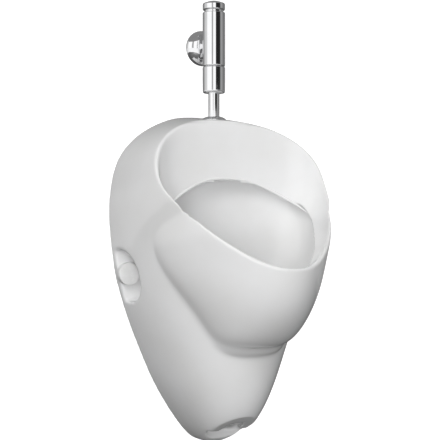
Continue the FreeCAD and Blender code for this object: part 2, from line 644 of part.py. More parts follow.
def make_cage():
    """The air inlet's cage: a floor with a port, and a wall that slots open for the water."""
    outer = f"{SLEEVE_BORE} - slip_gap"
    cage = turned("cage", [
        ("cage_port", CAGE_LOW), (outer, CAGE_LOW), (outer, CAGE_TOP), (CAGE_GUIDE, CAGE_TOP),
        (CAGE_GUIDE, f"{CAGE_LOW} + cage_floor"), ("cage_port", f"{CAGE_LOW} + cage_floor")])
    plane = [item for item in cage.Origin.OriginFeatures if item.Role == "XY_Plane"][0]
    sketch = cage.newObject("Sketcher::SketchObject", "cage_slot_outline")
    sketch.AttachmentSupport = [(plane, "")]
    sketch.MapMode = "FlatFace"
    inner, half = value(CAGE_GUIDE) - 1, value("cage_slot") / 2
    outer = value(SLEEVE_BORE) - 2.2
    spots = [V(inner, -half, 0), V(outer, -half, 0), V(outer, half, 0), V(inner, half, 0)]
    for here, there in zip(spots, spots[1:] + spots[:1]):
        sketch.addGeometry(Part.LineSegment(here, there), False)
    for index in range(4):
        sketch.addConstraint(Sketcher.Constraint("Coincident", index, 2, (index + 1) % 4, 1))
    bind(sketch, AttachmentOffset__Base__z=CAGE_TOP)
    doc.recompute()
    slot = cage.newObject("PartDesign::Pocket", "cage_slot_cut")
    slot.Profile = sketch
    bind(slot, Length="cage_height - cage_floor - 1")
    slots = cage.newObject("PartDesign::PolarPattern", "cage_slots")
    slots.Originals = [slot]
    slots.Axis = (sketch, ["N_Axis"])
    slots.Angle = 360
    slots.Occurrences = 4
    cage.Tip = slots
    sketch.Visibility = False
    doc.recompute()
    return cage


# ---------------------------------------------------------------- valve
def make_valve_body():
    """The turned body with its seat, chamber and neck, and the boss that faces the wall."""
    foot = "joint_level + joint_gap"
    body = turned("valve", [
        ("seat_bore", "spigot_low"), (SPIGOT, "spigot_low"), (SPIGOT, foot),
        ("valve_radius - joint_groove", foot), ("valve_radius", f"{foot} + joint_groove"),
        ("valve_radius", "valve_shoulder - valve_edge"),
        ("valve_radius - valve_edge", "valve_shoulder"), (VALVE_NECK, "valve_shoulder"),
        (VALVE_NECK, NECK_TOP), (CHAMBER, NECK_TOP), (CHAMBER, "chamber_low"),
        ("seat_bore + seat_ring", "chamber_low"),
        ("seat_bore + seat_ring", "chamber_low + seat_ring_rise"),
        ("seat_bore", "chamber_low + seat_ring_rise")])
    placed(body, depth="pipe_depth")
    boss = rod("inlet_boss", f"{NECK_RUN} + socket_gap + boss_wall",
               f"pipe_depth - {CHAMBER} - neck_wall - inlet_boss_depth",
               depth="inlet_boss_depth", height="inlet_level", turn=OUT_OF_WALL)
    whole = joined("valve_with_boss", [body, boss])
    port = rod("inlet_port", "inlet_bore", "pipe_depth - inlet_boss_depth + 1",
               depth="inlet_boss_depth - 1", height="inlet_level", turn=OUT_OF_WALL)
    socket = rod("inlet_socket", f"{NECK_RUN} + socket_gap",
                 "neck_socket_end - inlet_boss_depth + 1",
                 depth="inlet_boss_depth - 1", height="inlet_level", turn=OUT_OF_WALL)
    bored = without("valve_bored", without("valve_ported", whole, port), socket)
    piece(bored, "valve_body")


def make_cartridge():
    """The sleeve with its water ports, the piston with two seals and the threaded bonnet."""
    outer = f"({CHAMBER} - cartridge_gap)"
    inner = f"({CHAMBER} - cartridge_gap - cartridge_wall)"
    sleeve = tube("cartridge", inner, outer, "cartridge_low", "cartridge_high")
    placed(sleeve, depth="pipe_depth")
    for index, turn in enumerate((ALONG_X, OUT_OF_WALL)):
        start = ("-valve_radius", "0") if index == 0 else ("0", "-valve_radius")
        port = rod(f"cartridge_port_{index}", "cartridge_port", "2 * valve_radius", start[0],
                   f"pipe_depth + ({start[1]})", "inlet_level", turn)
        sleeve = without(f"cartridge_ported_{index}", sleeve, port)
    piece(sleeve, "cartridge_sleeve")
    head = f"{inner} - piston_gap"
    on_pipe(turned("piston", [
        ("0", "piston_low"), ("piston_foot_radius", "piston_low"),
        ("piston_foot_radius", "piston_low + piston_foot"),
        ("piston_stem", "piston_low + piston_foot"), ("piston_stem", "piston_head_low"),
        (head, "piston_head_low"), (head, "lip_seal_low"),
        (f"{head} - lip_seal_groove", "lip_seal_low"),
        (f"{head} - lip_seal_groove", "lip_seal_low + lip_seal_height"),
        (head, "lip_seal_low + lip_seal_height"), (head, "piston_high"),
        ("pilot_radius", "piston_high"), ("pilot_radius", "piston_high - pilot_depth"),
        ("0", "piston_high - pilot_depth")]), "piston")
    on_pipe(tube("lip_seal", f"{head} - lip_seal_groove", f"{inner} - running_gap",
                 "lip_seal_low", "lip_seal_low + lip_seal_height"), "piston_seal")
    on_pipe(turned("seat_washer", [
        ("0", "piston_low - washer_seat_height"),
        ("piston_foot_radius", "piston_low - washer_seat_height"),
        ("piston_foot_radius", "piston_low"), ("0", "piston_low")]), "seat_washer")
    ring = f"{outer} - o_ring_depth"
    stem_hole = "stem_radius + bonnet_stem_gap"
    on_pipe(turned("bonnet", [
        (stem_hole, "bonnet_low"), (outer, "bonnet_low"), (outer, "o_ring_low"),
        (ring, "o_ring_low"), (ring, "o_ring_low + o_ring_height"),
        (outer, "o_ring_low + o_ring_height"), (outer, "bonnet_low + bonnet_height"),
        (stem_hole, "bonnet_low + bonnet_height")]), "bonnet")
    on_pipe(tube("bonnet_ring", ring, outer, "o_ring_low", "o_ring_low + o_ring_height"),
            "bonnet_o_ring")


def make_button():
    """The cap that slides on the body's neck, its stem and clip, and the return spring."""
    outer = "valve_radius"
    bore = f"{VALVE_NECK} + button_neck_gap"
    ceiling = "button_edge_top - button_wall"
    on_pipe(turned("button", [
        (bore, "button_low"), (f"{outer} - button_chamfer", "button_low"),
        (outer, "button_low + button_chamfer"),
        (outer, "button_edge_top - button_round", "button_round * 1.0001"),
        (f"{outer} - button_round", "button_edge_top",
         dome(f"{outer} - button_round", "button_edge_top", "0", "button_top")),
        ("0", "button_top"), ("0", ceiling), ("stem_radius", ceiling),
        ("stem_radius", "hub_low"), ("hub_radius", "hub_low"), ("hub_radius", ceiling),
        (bore, ceiling)]), "push_button")
    on_pipe(turned("stem", [
        ("0", "stem_low"), ("stem_tip_radius", "stem_low"),
        ("stem_tip_radius", "stem_shoulder"), ("stem_radius - 0.02", "stem_shoulder"),
        ("stem_radius - 0.02", ceiling), ("0", ceiling)]), "button_stem")
    on_pipe(tube("clip", "stem_radius", "stem_radius + 1.4", "clip_low", "clip_low + clip_height"),
            "button_clip")
    low = "bonnet_low + bonnet_height + spring_seat + spring_wire"
    length = value(f"{ceiling} - spring_seat - spring_wire - ({low})")
    radius, wire = value("spring_radius"), value("spring_wire")
    helix = Part.makeHelix(value("spring_pitch"), length, radius)
    angles = [math.pi * (2 * side + 1) / SPRING_SIDES for side in range(SPRING_SIDES)]
    corners = [V(radius + wire * math.cos(angle), 0, wire * math.sin(angle)) for angle in angles]
    section = Part.makePolygon(corners + corners[:1])
    coil = Part.Wire(helix.Edges).makePipeShell([section], True, True)
    on_pipe(feature("spring", coil), "return_spring", low)


def make_inlet():
    """The neck between the wall fitting and the valve, its seal and the rosette."""
    at_wall = lambda body, node: piece(
        placed(body, height="inlet_level", turn=OUT_OF_WALL), node)
    collar = f"{NECK_RUN} + neck_collar"
    at_wall(turned("neck", [
        ("neck_bore", "-neck_in_wall"), ("inlet_thread", "-neck_in_wall"), ("inlet_thread", "0"),
        (NECK_RUN, "0"), (NECK_RUN, "neck_collar_back"), (collar, "neck_collar_back"),
        (collar, "neck_collar_front"), (NECK_RUN, "neck_collar_front"), (NECK_RUN, "neck_end"),
        ("neck_bore", "neck_end")]), "inlet_neck")
    at_wall(tube("neck_ring", "neck_bore + 0.4", f"{NECK_RUN} - 0.4", "neck_end",
                 "neck_end + neck_seal"), "neck_o_ring")
    step, hole = "rosette_step_radius", "inlet_thread + slip_gap * 3"
    under_step, under_top = "rosette_step - rosette_wall", "rosette_depth - rosette_wall"
    at_wall(turned("rosette", [
        ("rosette_radius - rosette_wall", "0"), ("rosette_radius", "0"),
        ("rosette_radius", "rosette_flange", "rosette_bulge"),
        (step, "rosette_step", dome(step, "rosette_step", hole, "rosette_depth")),
        (hole, "rosette_depth"),
        (hole, under_top, "-" + dome(f"{step} - rosette_wall", under_step, hole, under_top)),
        (f"{step} - rosette_wall", under_step)]), "wall_rosette")


# ---------------------------------------------------------------- waste
def on_drain(thing, node):
    """Place a piece on the drain's axis, with its heights counted from the bowl's floor."""
    return piece(placed(thing, depth=DRAIN, height=FLOOR), node)


def make_waste():
    """The flanged tube through the sump, its grid and screw, and the nut below."""
    inner = "waste_radius + 0.5"
    on_drain(tube("upper_gasket", inner, "waste_flange_radius", "0", "gasket_height"),
             "waste_gasket")
    barrel = turned("waste", [
        ("waste_bore", "-waste_low"), ("waste_radius", "-waste_low"),
        ("waste_radius", "gasket_height"), ("waste_flange_radius", "gasket_height"),
        ("waste_flange_radius", "gasket_height + waste_flange"),
        ("waste_bore", "gasket_height + waste_flange")])
    bar = box("bridge", "2 * waste_bore + 1", "bridge_width", "bridge_height",
              ("-waste_bore - 0.5", "bridge_width / 2", "-bridge_low"))
    tapped = without("waste_tapped", joined("waste_bridged", [barrel, bar]),
                     rod("bridge_hole", "grid_screw_radius + thread_gap", "bridge_height + 2",
                         height="-bridge_low - 1"))
    on_drain(tapped, "waste_outlet")
    top = "gasket_height + waste_flange"
    on_drain(make_strainer(top), "waste_strainer")
    head_low = f"{top} + strainer_height"
    head_top = f"{head_low} + grid_head_height"
    on_drain(turned("grid_screw", [
        ("0", "-bridge_low"), ("grid_screw_radius", "-bridge_low"),
        ("grid_screw_radius", head_low),
        ("grid_head_radius", head_low, dome("grid_head_radius", head_low, "0", head_top)),
        ("0", head_top)]),
        "strainer_screw")
    on_drain(tube("lower_ring", inner, "lower_gasket_radius", "-boss_height - gasket_height",
                  "-boss_height"), "lower_gasket")
    nut_top = "-boss_height - gasket_height"
    block = hexagon("back_nut_block", "back_nut_across", f"{nut_top} - back_nut_height", nut_top)
    nut = without("back_nut", block,
                  rod("back_nut_thread", "waste_radius + thread_gap", "back_nut_height + 2",
                      height=f"{nut_top} - back_nut_height - 1"))
    on_drain(nut, "waste_back_nut")


def make_strainer(top):
    """The grid over the drain: a disc with a ring of slots round its screw hole."""
    disc = tube("strainer", "grid_screw_radius + thread_gap", "strainer_radius", top,
                f"{top} + strainer_height")
    slots = int(value("strainer_slots"))
    for index in range(slots):
        cut = doc.addObject("Part::Box", f"strainer_slot_{index}")
        bind(cut, Length="slot_length", Width="slot_width", Height="strainer_height + 2")
        turn = FreeCAD.Rotation(V(0, 0, 1), 360 * index / slots)
        corner = turn.multVec(V(value("slot_inner"), -value("slot_width") / 2, 0))
        cut.Placement = FreeCAD.Placement(V(corner.x, corner.y, value(top) - 1), turn)
        disc = without(f"strainer_cut_{index}", disc, cut)
    return disc


def make_trap():
    """The bottle trap on the waste tube: nut, seal, body, and the cup that unscrews."""
    gap = "waste_radius + slip_gap * 2"
    seal_top = "-trap_nut_top - trap_nut_shelf"
    on_drain(turned("trap_nut", [
        (gap, seal_top), (gap, "-trap_nut_top"),
        ("trap_nut_radius", "-trap_nut_top"), ("trap_nut_radius", "-trap_nut_low"),
        ("trap_nut_radius - trap_nut_wall", "-trap_nut_low"),
        ("trap_nut_radius - trap_nut_wall", seal_top)]), "trap_nut")
    on_drain(tube("trap_nut_seal", gap, "trap_neck", f"{seal_top} - nut_seal_height", seal_top),
             "trap_nut_seal")
    outside = turned("bottle", [
        ("0", "-trap_low"), ("trap_radius", "-trap_low"), ("trap_radius", "-trap_top"),
        ("trap_neck", "-trap_top"), ("trap_neck", f"{seal_top} - nut_seal_height"),
        ("0", f"{seal_top} - nut_seal_height")])
    spout = rod("spout", "outlet_spigot_radius", "outlet_reach - 10", depth="-outlet_reach",
                height="-outlet_level", turn=OUT_OF_WALL)
    inside = turned("bottle_inside", [
        ("0", "-trap_low - 1"), ("trap_radius - trap_wall", "-trap_low - 1"),
        ("trap_radius - trap_wall", "-trap_top - trap_wall"), (gap, "-trap_top - trap_wall"),
        (gap, f"{seal_top} + 1"), ("0", f"{seal_top} + 1")])
    way = rod("spout_bore", "outlet_bore", "outlet_reach", depth="-outlet_reach - 1",
              height="-outlet_level", turn=OUT_OF_WALL)
    hollowed = without("bottle_hollowed", joined("bottle_with_spout", [outside, spout]), inside)
    on_drain(without("bottle_bored", hollowed, way), "trap_body")
    ledge = "-trap_low - cup_seal_height"
    on_drain(turned("cup", [
        ("0", "-cup_low"), ("cup_radius - 2", "-cup_low"), ("cup_radius", "-cup_low + 2"),
        ("cup_radius", "-cup_high"), ("trap_radius + thread_gap", "-cup_high"),
        ("trap_radius + thread_gap", ledge), ("trap_radius - trap_wall - 1", ledge),
        ("trap_radius - trap_wall - 1", "-cup_low + cup_wall"), ("0", "-cup_low + cup_wall")]),
        "trap_cup")
    on_drain(tube("cup_ring", "trap_radius - trap_wall", "trap_radius", ledge, "-trap_low"),
             "trap_cup_seal")


def make_outlet():
    """The waste pipe into the wall, held to the trap's spout by a nut and a seal."""
    at_spout = lambda body, node: piece(
        placed(body, height=f"{FLOOR} - outlet_level", turn=OUT_OF_WALL), node)
    front = f"{OUTLET_FACE} - outlet_seal"
    at_spout(turned("pipe_to_wall", [
        ("waste_pipe_bore", "-waste_pipe_in_wall"), ("waste_spigot_radius", "-waste_pipe_in_wall"),
        ("waste_spigot_radius", "0"), (WASTE_RUN, "0"), (WASTE_RUN, front),
        ("waste_pipe_bore", front)]), "waste_pipe")
    at_spout(tube("outlet_ring", "waste_pipe_bore", WASTE_RUN, front, OUTLET_FACE),
             "outlet_pipe_seal")
    hole = f"{WASTE_RUN} + slip_gap * 2"
    socket = "outlet_spigot_radius + thread_gap"
    back, ahead = f"{OUTLET_FACE} - outlet_nut_behind", f"{OUTLET_FACE} + outlet_nut_ahead"
    shelf = f"{back} + outlet_nut_shelf"
    at_spout(turned("outlet_nut", [
        (hole, back), ("outlet_nut_radius", back),
        ("outlet_nut_radius", ahead), (socket, ahead),
        (socket, shelf), (hole, shelf)]), "outlet_pipe_nut")


def check_all():
    """Stop if a feature failed or a sub-part isn't a sound solid."""
    for item in doc.Objects:
        if "Invalid" in item.State or "Error" in item.State:
            raise RuntimeError(f"{item.Label} failed: {item.State}")
    for item in pieces:
        if item.Shape.isNull() or not item.Shape.isValid() or item.Shape.Volume <= 0:
            raise RuntimeError(f"{item.Label} isn't a sound solid")


make_china()
make_fixings()
make_flush_pipe()
make_outlet_sleeve()
make_valve_body()
make_cartridge()
make_button()
make_inlet()
make_waste()
make_trap()
make_outlet()
doc.recompute()
check_all()
os.makedirs("parts", exist_ok=True)
for item in pieces:
    item.Shape.exportStep(f"parts/{item.Label}.step")
    print(f"{item.Label}: {len(item.Shape.Solids)} solid(s), {item.Shape.Volume / 1000:.1f} cm3")
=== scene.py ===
"""Looks of a wall hung urinal with a push-button flush valve.

Metres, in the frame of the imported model: the origin lies on the wall, midway between the two
fixing screws. +X is to the right for someone who faces the urinal, -Y points into the room and
+Z is up. "Depth" is the distance from the wall.
"""
import logging
import math
from dataclasses import dataclass, field
from enum import Enum

import bmesh
import bpy
from mathutils import Matrix, Vector


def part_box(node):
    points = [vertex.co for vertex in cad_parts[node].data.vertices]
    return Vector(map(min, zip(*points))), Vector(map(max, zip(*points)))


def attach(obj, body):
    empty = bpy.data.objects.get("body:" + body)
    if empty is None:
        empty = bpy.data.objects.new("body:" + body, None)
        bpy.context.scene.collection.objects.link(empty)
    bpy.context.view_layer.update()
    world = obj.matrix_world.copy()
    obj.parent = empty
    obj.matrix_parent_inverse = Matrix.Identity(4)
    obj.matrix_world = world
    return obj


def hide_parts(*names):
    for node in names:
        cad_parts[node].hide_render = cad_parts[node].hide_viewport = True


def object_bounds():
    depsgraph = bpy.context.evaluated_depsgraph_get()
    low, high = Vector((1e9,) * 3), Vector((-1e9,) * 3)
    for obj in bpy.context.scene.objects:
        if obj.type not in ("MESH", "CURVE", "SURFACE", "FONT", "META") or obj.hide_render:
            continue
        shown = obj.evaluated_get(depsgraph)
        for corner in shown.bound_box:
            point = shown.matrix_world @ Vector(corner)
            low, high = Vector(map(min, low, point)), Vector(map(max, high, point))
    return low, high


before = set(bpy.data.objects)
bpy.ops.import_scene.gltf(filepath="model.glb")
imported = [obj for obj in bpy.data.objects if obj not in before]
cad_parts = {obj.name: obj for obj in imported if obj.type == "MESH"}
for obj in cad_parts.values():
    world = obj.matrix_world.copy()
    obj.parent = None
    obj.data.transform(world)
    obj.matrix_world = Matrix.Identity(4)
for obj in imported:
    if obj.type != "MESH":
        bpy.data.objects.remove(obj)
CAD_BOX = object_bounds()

LOG = logging.getLogger("urinal")
MM = 0.001
STEPS = 96
FINE_STEPS = 128
Colour = tuple[float, float, float]
Point = tuple[float, float, float]
Outline = list[tuple[float, float]]


class Way(Enum):
    """Which way the axis of a turned piece points."""

    UP = 0.0
    OUT_OF_WALL = 90.0


class Body(Enum):
    """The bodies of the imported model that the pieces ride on."""

    FIXED = "urinal"
    BUTTON = "button"
    PISTON = "piston"
    BREAKER = "breaker"


# ---------------------------------------------------------------- finishes
class Bench:
    """Lays out the shader nodes of one material on the piece's own coordinates."""

    def __init__(self, name: str) -> None:
        """Start a material with a plain shader.

        Args:
            name: the finish's name.
        """
        self.material = bpy.data.materials.new(name)
        self.material.use_nodes = True
        self.tree = self.material.node_tree
        self.shader = self.tree.nodes["Principled BSDF"]
        self.place = self.add("ShaderNodeTexCoord").outputs["Object"]

    def add(self, kind: str, **settings: object) -> bpy.types.Node:
        """Add a node and set its own options.

        Args:
            kind: the node's type.
            settings: the options by name.

        Returns:
            The node.
        """
        node = self.tree.nodes.new(kind)
        for name, setting in settings.items():
            setattr(node, name, setting)
        return node

    def join(self, source: bpy.types.NodeSocket, target: bpy.types.NodeSocket) -> None:
        """Link an output to an input."""
        self.tree.links.new(source, target)

    def noise(self, size: float, detail: float = 2.0,
              stretch: Colour = (1.0, 1.0, 1.0)) -> bpy.types.NodeSocket:
        """Add cloudy variation.

        Args:
            size: the width of one cloud.
            detail: how many finer layers lie on it.
            stretch: how much longer the clouds are along each axis.

        Returns:
            The strength, about 0.3 to 0.7.
        """
        mapping = self.add("ShaderNodeMapping")
        self.join(self.place, mapping.inputs["Vector"])
        mapping.inputs["Scale"].default_value = [1 / length for length in stretch]
        node = self.add("ShaderNodeTexNoise")
        self.join(mapping.outputs["Vector"], node.inputs["Vector"])
        node.inputs["Scale"].default_value = 1 / size
        node.inputs["Detail"].default_value = detail
        return node.outputs["Fac"]

    def spread(self, source: bpy.types.NodeSocket, low: float, high: float,
               start: float = 0.35, end: float = 0.65) -> bpy.types.NodeSocket:
        """Stretch a strength to a range.

        Args:
            source: the strength.
            low: the result at the start of the range.
            high: the result at its end.
            start: where the range starts.
            end: where it ends.

        Returns:
            The new number.
        """
        node = self.add("ShaderNodeMapRange")
        self.join(source, node.inputs["Value"])
        for name, number in (("From Min", start), ("From Max", end), ("To Min", low),
                             ("To Max", high)):
            node.inputs[name].default_value = number
        return node.outputs["Result"]

    def blend(self, share: bpy.types.NodeSocket, first: "Colour | bpy.types.NodeSocket",
              second: "Colour | bpy.types.NodeSocket") -> bpy.types.NodeSocket:
        """Mix two colours.

        Args:
            share: how much of the second shows, 0 to 1.
            first: a colour or a colour's socket.
            second: the same.

        Returns:
            The mixed colour.
        """
        node = self.add("ShaderNodeMix", data_type="RGBA")
        self.join(share, node.inputs["Factor"])
        for name, source in (("A", first), ("B", second)):
            target = [item for item in node.inputs if item.name == name and item.type == "RGBA"][0]
            if isinstance(source, tuple):
                target.default_value = (*source, 1.0)
            else:
                self.join(source, target)
        return [item for item in node.outputs if item.type == "RGBA"][0]

    def colour(self, source: bpy.types.NodeSocket) -> None:
        """Use a socket as the surface's colour."""
        self.join(source, self.shader.inputs["Base Color"])

    def gloss(self, source: bpy.types.NodeSocket) -> None:
        """Use a socket as the surface's roughness."""
        self.join(source, self.shader.inputs["Roughness"])

    def relief(self, height: bpy.types.NodeSocket, depth: float, strength: float) -> None:
        """Add fine relief to the surface.

        Args:
            height: the relief, 0 to 1.
            depth: how high 1 stands.
            strength: how much of it shows.
        """
        node = self.add("ShaderNodeBump")
        node.inputs["Strength"].default_value = strength
        node.inputs["Distance"].default_value = depth
        self.join(height, node.inputs["Height"])
        before = self.shader.inputs["Normal"]
        if before.is_linked:
            self.join(before.links[0].from_socket, node.inputs["Normal"])
        self.join(node.outputs["Normal"], before)

    def fix(self, **numbers: object) -> None:
        """Set the shader's own sockets. An underscore in a name stands for a space."""
        for name, number in numbers.items():
            self.shader.inputs[name.replace("_", " ")].default_value = number


@dataclass(frozen=True)
class Glaze:
    """White glaze fired over vitreous china."""

    pale: Colour = (0.82, 0.822, 0.825)
    deep: Colour = (0.79, 0.79, 0.787)
    roughness: float = 0.10
    cloud: float = 0.09
    smear: float = 0.03
    ripple: float = 0.022
    ripple_depth: float = 0.00025
    grain: float = 0.0016
    grain_depth: float = 0.00002

    def material(self) -> bpy.types.Material:
        """Make the material: soft tone changes, and the slow ripple of a poured glaze."""
        bench = Bench("glaze")
        bench.colour(bench.blend(bench.spread(bench.noise(self.cloud, 3.0), 0.0, 1.0), self.pale,
                                 self.deep))
        bench.gloss(bench.spread(bench.noise(self.smear, 4.0), self.roughness - 0.02,
                                 self.roughness + 0.03))
        bench.relief(bench.noise(self.ripple, 1.0), self.ripple_depth, 0.18)
        bench.relief(bench.noise(self.grain, 2.0), self.grain_depth, 0.12)
        bench.fix(IOR=1.50, Coat_Weight=0.25, Coat_Roughness=0.04)
        return bench.material


@dataclass(frozen=True)
class Bisque:
    """Fired china without glaze, where the casting stood in the kiln and faces the wall."""

    pale: Colour = (0.70, 0.67, 0.61)
    deep: Colour = (0.60, 0.565, 0.50)
    cloud: float = 0.035
    patch: float = 0.01
    grain: float = 0.0012
    grain_depth: float = 0.00025

    def material(self) -> bpy.types.Material:
        """Make the material: warm, dry and finely grained."""
        bench = Bench("bisque")
        clouds = bench.spread(bench.noise(self.cloud, 5.0), 0.0, 1.0)
        bench.colour(bench.blend(clouds, self.pale, self.deep))
        bench.gloss(bench.spread(bench.noise(self.patch, 3.0), 0.62, 0.85))
        bench.relief(bench.noise(self.grain, 4.0), self.grain_depth, 0.5)
        return bench.material


@dataclass(frozen=True)
class Metal:
    """A bare or plated metal."""

    name: str
    pale: Colour
    deep: Colour
    roughness: float
    change: float = 0.03
    brushing: float = 0.0
    brush_size: float = 0.0006
    brush_depth: float = 0.00002
    cloud: float = 0.02

    def material(self) -> bpy.types.Material:
        """Make the material: cloudy tone, uneven polish and fine marks along the turning."""
        bench = Bench(self.name)
        bench.colour(bench.blend(bench.spread(bench.noise(self.cloud, 4.0), 0.0, 1.0), self.pale,
                                 self.deep))
        bench.gloss(bench.spread(bench.noise(self.cloud * 0.6, 5.0), self.roughness,
                                 self.roughness + self.change))
        marks = bench.noise(self.brush_size, 2.0, (14.0, 14.0, 1.0))
        bench.relief(marks, self.brush_depth, 0.05 + self.brushing)
        bench.fix(Metallic=1.0)
        return bench.material


@dataclass(frozen=True)
class Moulding:
    """A moulded plastic or rubber."""

    name: str
    pale: Colour
    deep: Colour
    roughness: float
    grain: float = 0.0008
    grain_depth: float = 0.00005
    cloud: float = 0.015

    def material(self) -> bpy.types.Material:
        """Make the material: slight clouds, uneven sheen and a fine moulded grain."""
        bench = Bench(self.name)
        bench.colour(bench.blend(bench.spread(bench.noise(self.cloud, 3.0), 0.0, 1.0), self.pale,
                                 self.deep))
        bench.gloss(bench.spread(bench.noise(self.cloud * 0.5, 4.0), self.roughness - 0.06,
                                 self.roughness + 0.08))
        bench.relief(bench.noise(self.grain, 3.0), self.grain_depth, 0.3)
        bench.fix(IOR=1.49)
        return bench.material


@dataclass
class Finishes:
    """Every finish of the object, made once."""

    glaze: bpy.types.Material = field(default_factory=lambda: Glaze().material())
    bisque: bpy.types.Material = field(default_factory=lambda: Bisque().material())
    chrome: bpy.types.Material = field(default_factory=lambda: Metal(
        "chrome", (0.90, 0.90, 0.91), (0.86, 0.865, 0.875), 0.03, 0.03).material())
    brass: bpy.types.Material = field(default_factory=lambda: Metal(
        "brass", (0.78, 0.57, 0.26), (0.62, 0.43, 0.18), 0.22, 0.14, 0.2).material())
    zinc: bpy.types.Material = field(default_factory=lambda: Metal(
        "zinc_plate", (0.62, 0.63, 0.64), (0.48, 0.50, 0.52), 0.28, 0.14, 0.2).material())
    steel: bpy.types.Material = field(default_factory=lambda: Metal(
        "stainless_steel", (0.66, 0.66, 0.65), (0.56, 0.56, 0.55), 0.22, 0.12, 0.35).material())
    rubber: bpy.types.Material = field(default_factory=lambda: Moulding(
        "black_rubber", (0.022, 0.022, 0.023), (0.035, 0.034, 0.033), 0.62).material())
    white_plastic: bpy.types.Material = field(default_factory=lambda: Moulding(
        "white_plastic", (0.80, 0.80, 0.79), (0.76, 0.76, 0.74), 0.38).material())
    grey_plastic: bpy.types.Material = field(default_factory=lambda: Moulding(
        "grey_plastic", (0.34, 0.35, 0.36), (0.28, 0.29, 0.30), 0.45).material())
    cap_plastic: bpy.types.Material = field(default_factory=lambda: Moulding(
        "cap_plastic", (0.82, 0.82, 0.82), (0.78, 0.78, 0.775), 0.2, 0.002, 0.00002).material())


# ---------------------------------------------------------------- making meshes
def linked(name: str, shape: bmesh.types.BMesh) -> bpy.types.Object:
    """Turn a finished bmesh into an object in the scene.

    Args:
        name: the piece's name.
        shape: the mesh, which is freed.

    Returns:
        The object, with smooth faces.
    """
    mesh = bpy.data.meshes.new(name)
    for face in shape.faces:
        face.smooth = True
    shape.to_mesh(mesh)
    shape.free()
    made = bpy.data.objects.new(name, mesh)
    bpy.context.scene.collection.objects.link(made)
    return made


def soften(shape: bmesh.types.BMesh, width: float, segments: int = 3,
           sharp: float = math.radians(24)) -> None:
    """Round every sharp edge of a mesh.

    Args:
        shape: the mesh.
        width: how far the rounding reaches from the edge.
        segments: how many steps it has.
        sharp: the least angle between two faces that counts as sharp.
    """
    shape.normal_update()
    edges = [edge for edge in shape.edges
             if len(edge.link_faces) == 2 and edge.calc_face_angle(0.0) > sharp]
    bmesh.ops.bevel(shape, geom=edges, offset=width, offset_type="OFFSET", segments=segments,
                    profile=0.5, affect="EDGES", clamp_overlap=True, material=-1)


def held(outline: Outline, reach: float) -> Outline:
    """Add a point near each end of a long straight run, so that it mirrors evenly.

    Args:
        outline: (radius, height) points in order.
        reach: how far the new points are from the ends.

    Returns:
        The outline with its new points.
    """
    is_open = outline[0][0] == 0
    points: Outline = []
    for start, end in zip(outline, outline[1:] + ([] if is_open else outline[:1])):
        here, there = Vector(start), Vector(end)
        points.append(start)
        if (there - here).length > 3 * reach:
            step = (there - here).normalized() * reach
            points += [tuple(here + step), tuple(there - step)]
    return points + outline[-1:] if is_open else points


def spun(outline: Outline, steps: int = STEPS, hold: float = 1.0 * MM) -> bmesh.types.BMesh:
    """Revolve an outline about the upright axis.

    Args:
        outline: (radius, height) points in order. It is closed, unless it starts on the axis.
        steps: how many sides the turning has.
        hold: how near the ends of a straight run its holding points lie.

    Returns:
        The closed mesh, with its faces outwards.
    """
    shape = bmesh.new()
    outline = held(outline, hold)
    spots = [shape.verts.new((radius, 0.0, height)) for radius, height in outline]
    partners = spots[1:] if outline[0][0] == 0 else spots[1:] + spots[:1]
    edges = [shape.edges.new(ends) for ends in zip(spots, partners)]
    bmesh.ops.spin(shape, geom=spots + edges, cent=(0, 0, 0), axis=(0, 0, 1), dvec=(0, 0, 0),
                   angle=2 * math.pi, steps=steps, use_merge=True, use_normal_flip=False,
                   use_duplicate=False)
    bmesh.ops.remove_doubles(shape, verts=shape.verts, dist=1e-7)
    bmesh.ops.recalc_face_normals(shape, faces=shape.faces)
    return shape


def arc(start: tuple[float, float], end: tuple[float, float], rise: float,
        count: int = 8) -> Outline:
    """Give the points of an arc between two points of an outline, without its last point.

    Args:
        start: where the arc starts.
        end: where it ends.
        rise: how far its middle stands off the chord, to the right of the way on.
        count: how many steps it has.

    Returns:
        The points.
    """
    here, there = Vector(start), Vector(end)
    chord = there - here
    side = Vector((chord.y, -chord.x)).normalized()
    half = chord.length / 2
    radius = (half ** 2 + rise ** 2) / (2 * rise)
    centre = (here + there) / 2 + side * (rise - radius)
    first = here - centre
    turn = first.angle_signed(there - centre)
    return [tuple(centre + Matrix.Rotation(-turn * step / count, 2) @ first)
            for step in range(count)]


def placed(shape: bmesh.types.BMesh, way: Way, place: Vector) -> bmesh.types.BMesh:
    """Turn a mesh from the upright and move it to its place.

    Args:
        shape: the mesh, which is changed.
        way: where its upright axis points afterwards.
        place: where its own origin goes.

    Returns:
        The same mesh.
    """
    turn = Matrix.Rotation(math.radians(way.value), 4, "X")
    bmesh.ops.transform(shape, matrix=Matrix.Translation(place) @ turn, verts=shape.verts)
    return shape


@dataclass
class Span:
    """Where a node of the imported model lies."""

    low: Vector
    high: Vector

    @classmethod
    def of(cls, node: str) -> "Span":
        """Measure a node."""
        return cls(*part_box(node))

    @property
    def centre(self) -> Vector:
        """The middle of the node's box."""
        return (self.low + self.high) / 2

    @property
    def radius(self) -> float:
        """Half the node's width across the wall."""
        return (self.high.x - self.low.x) / 2


def keep(made: bpy.types.Object, finish: bpy.types.Material, body: Body, slot: str,
         *nodes: str) -> bpy.types.Object:
    """Finish a piece, and let it ride on a body in place of nodes.

    Args:
        made: the piece.
        finish: its material.
        body: the body that it rides on.
        slot: not used.
        nodes: the nodes that it stands for.

    Returns:
        The piece.
    """
    if not made.data.materials:
        made.data.materials.append(finish)
    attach(made, body.value)
    if nodes:
        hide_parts(*nodes)
    LOG.info("%s: %d faces on %s", made.name, len(made.data.polygons), body.value)
    return made


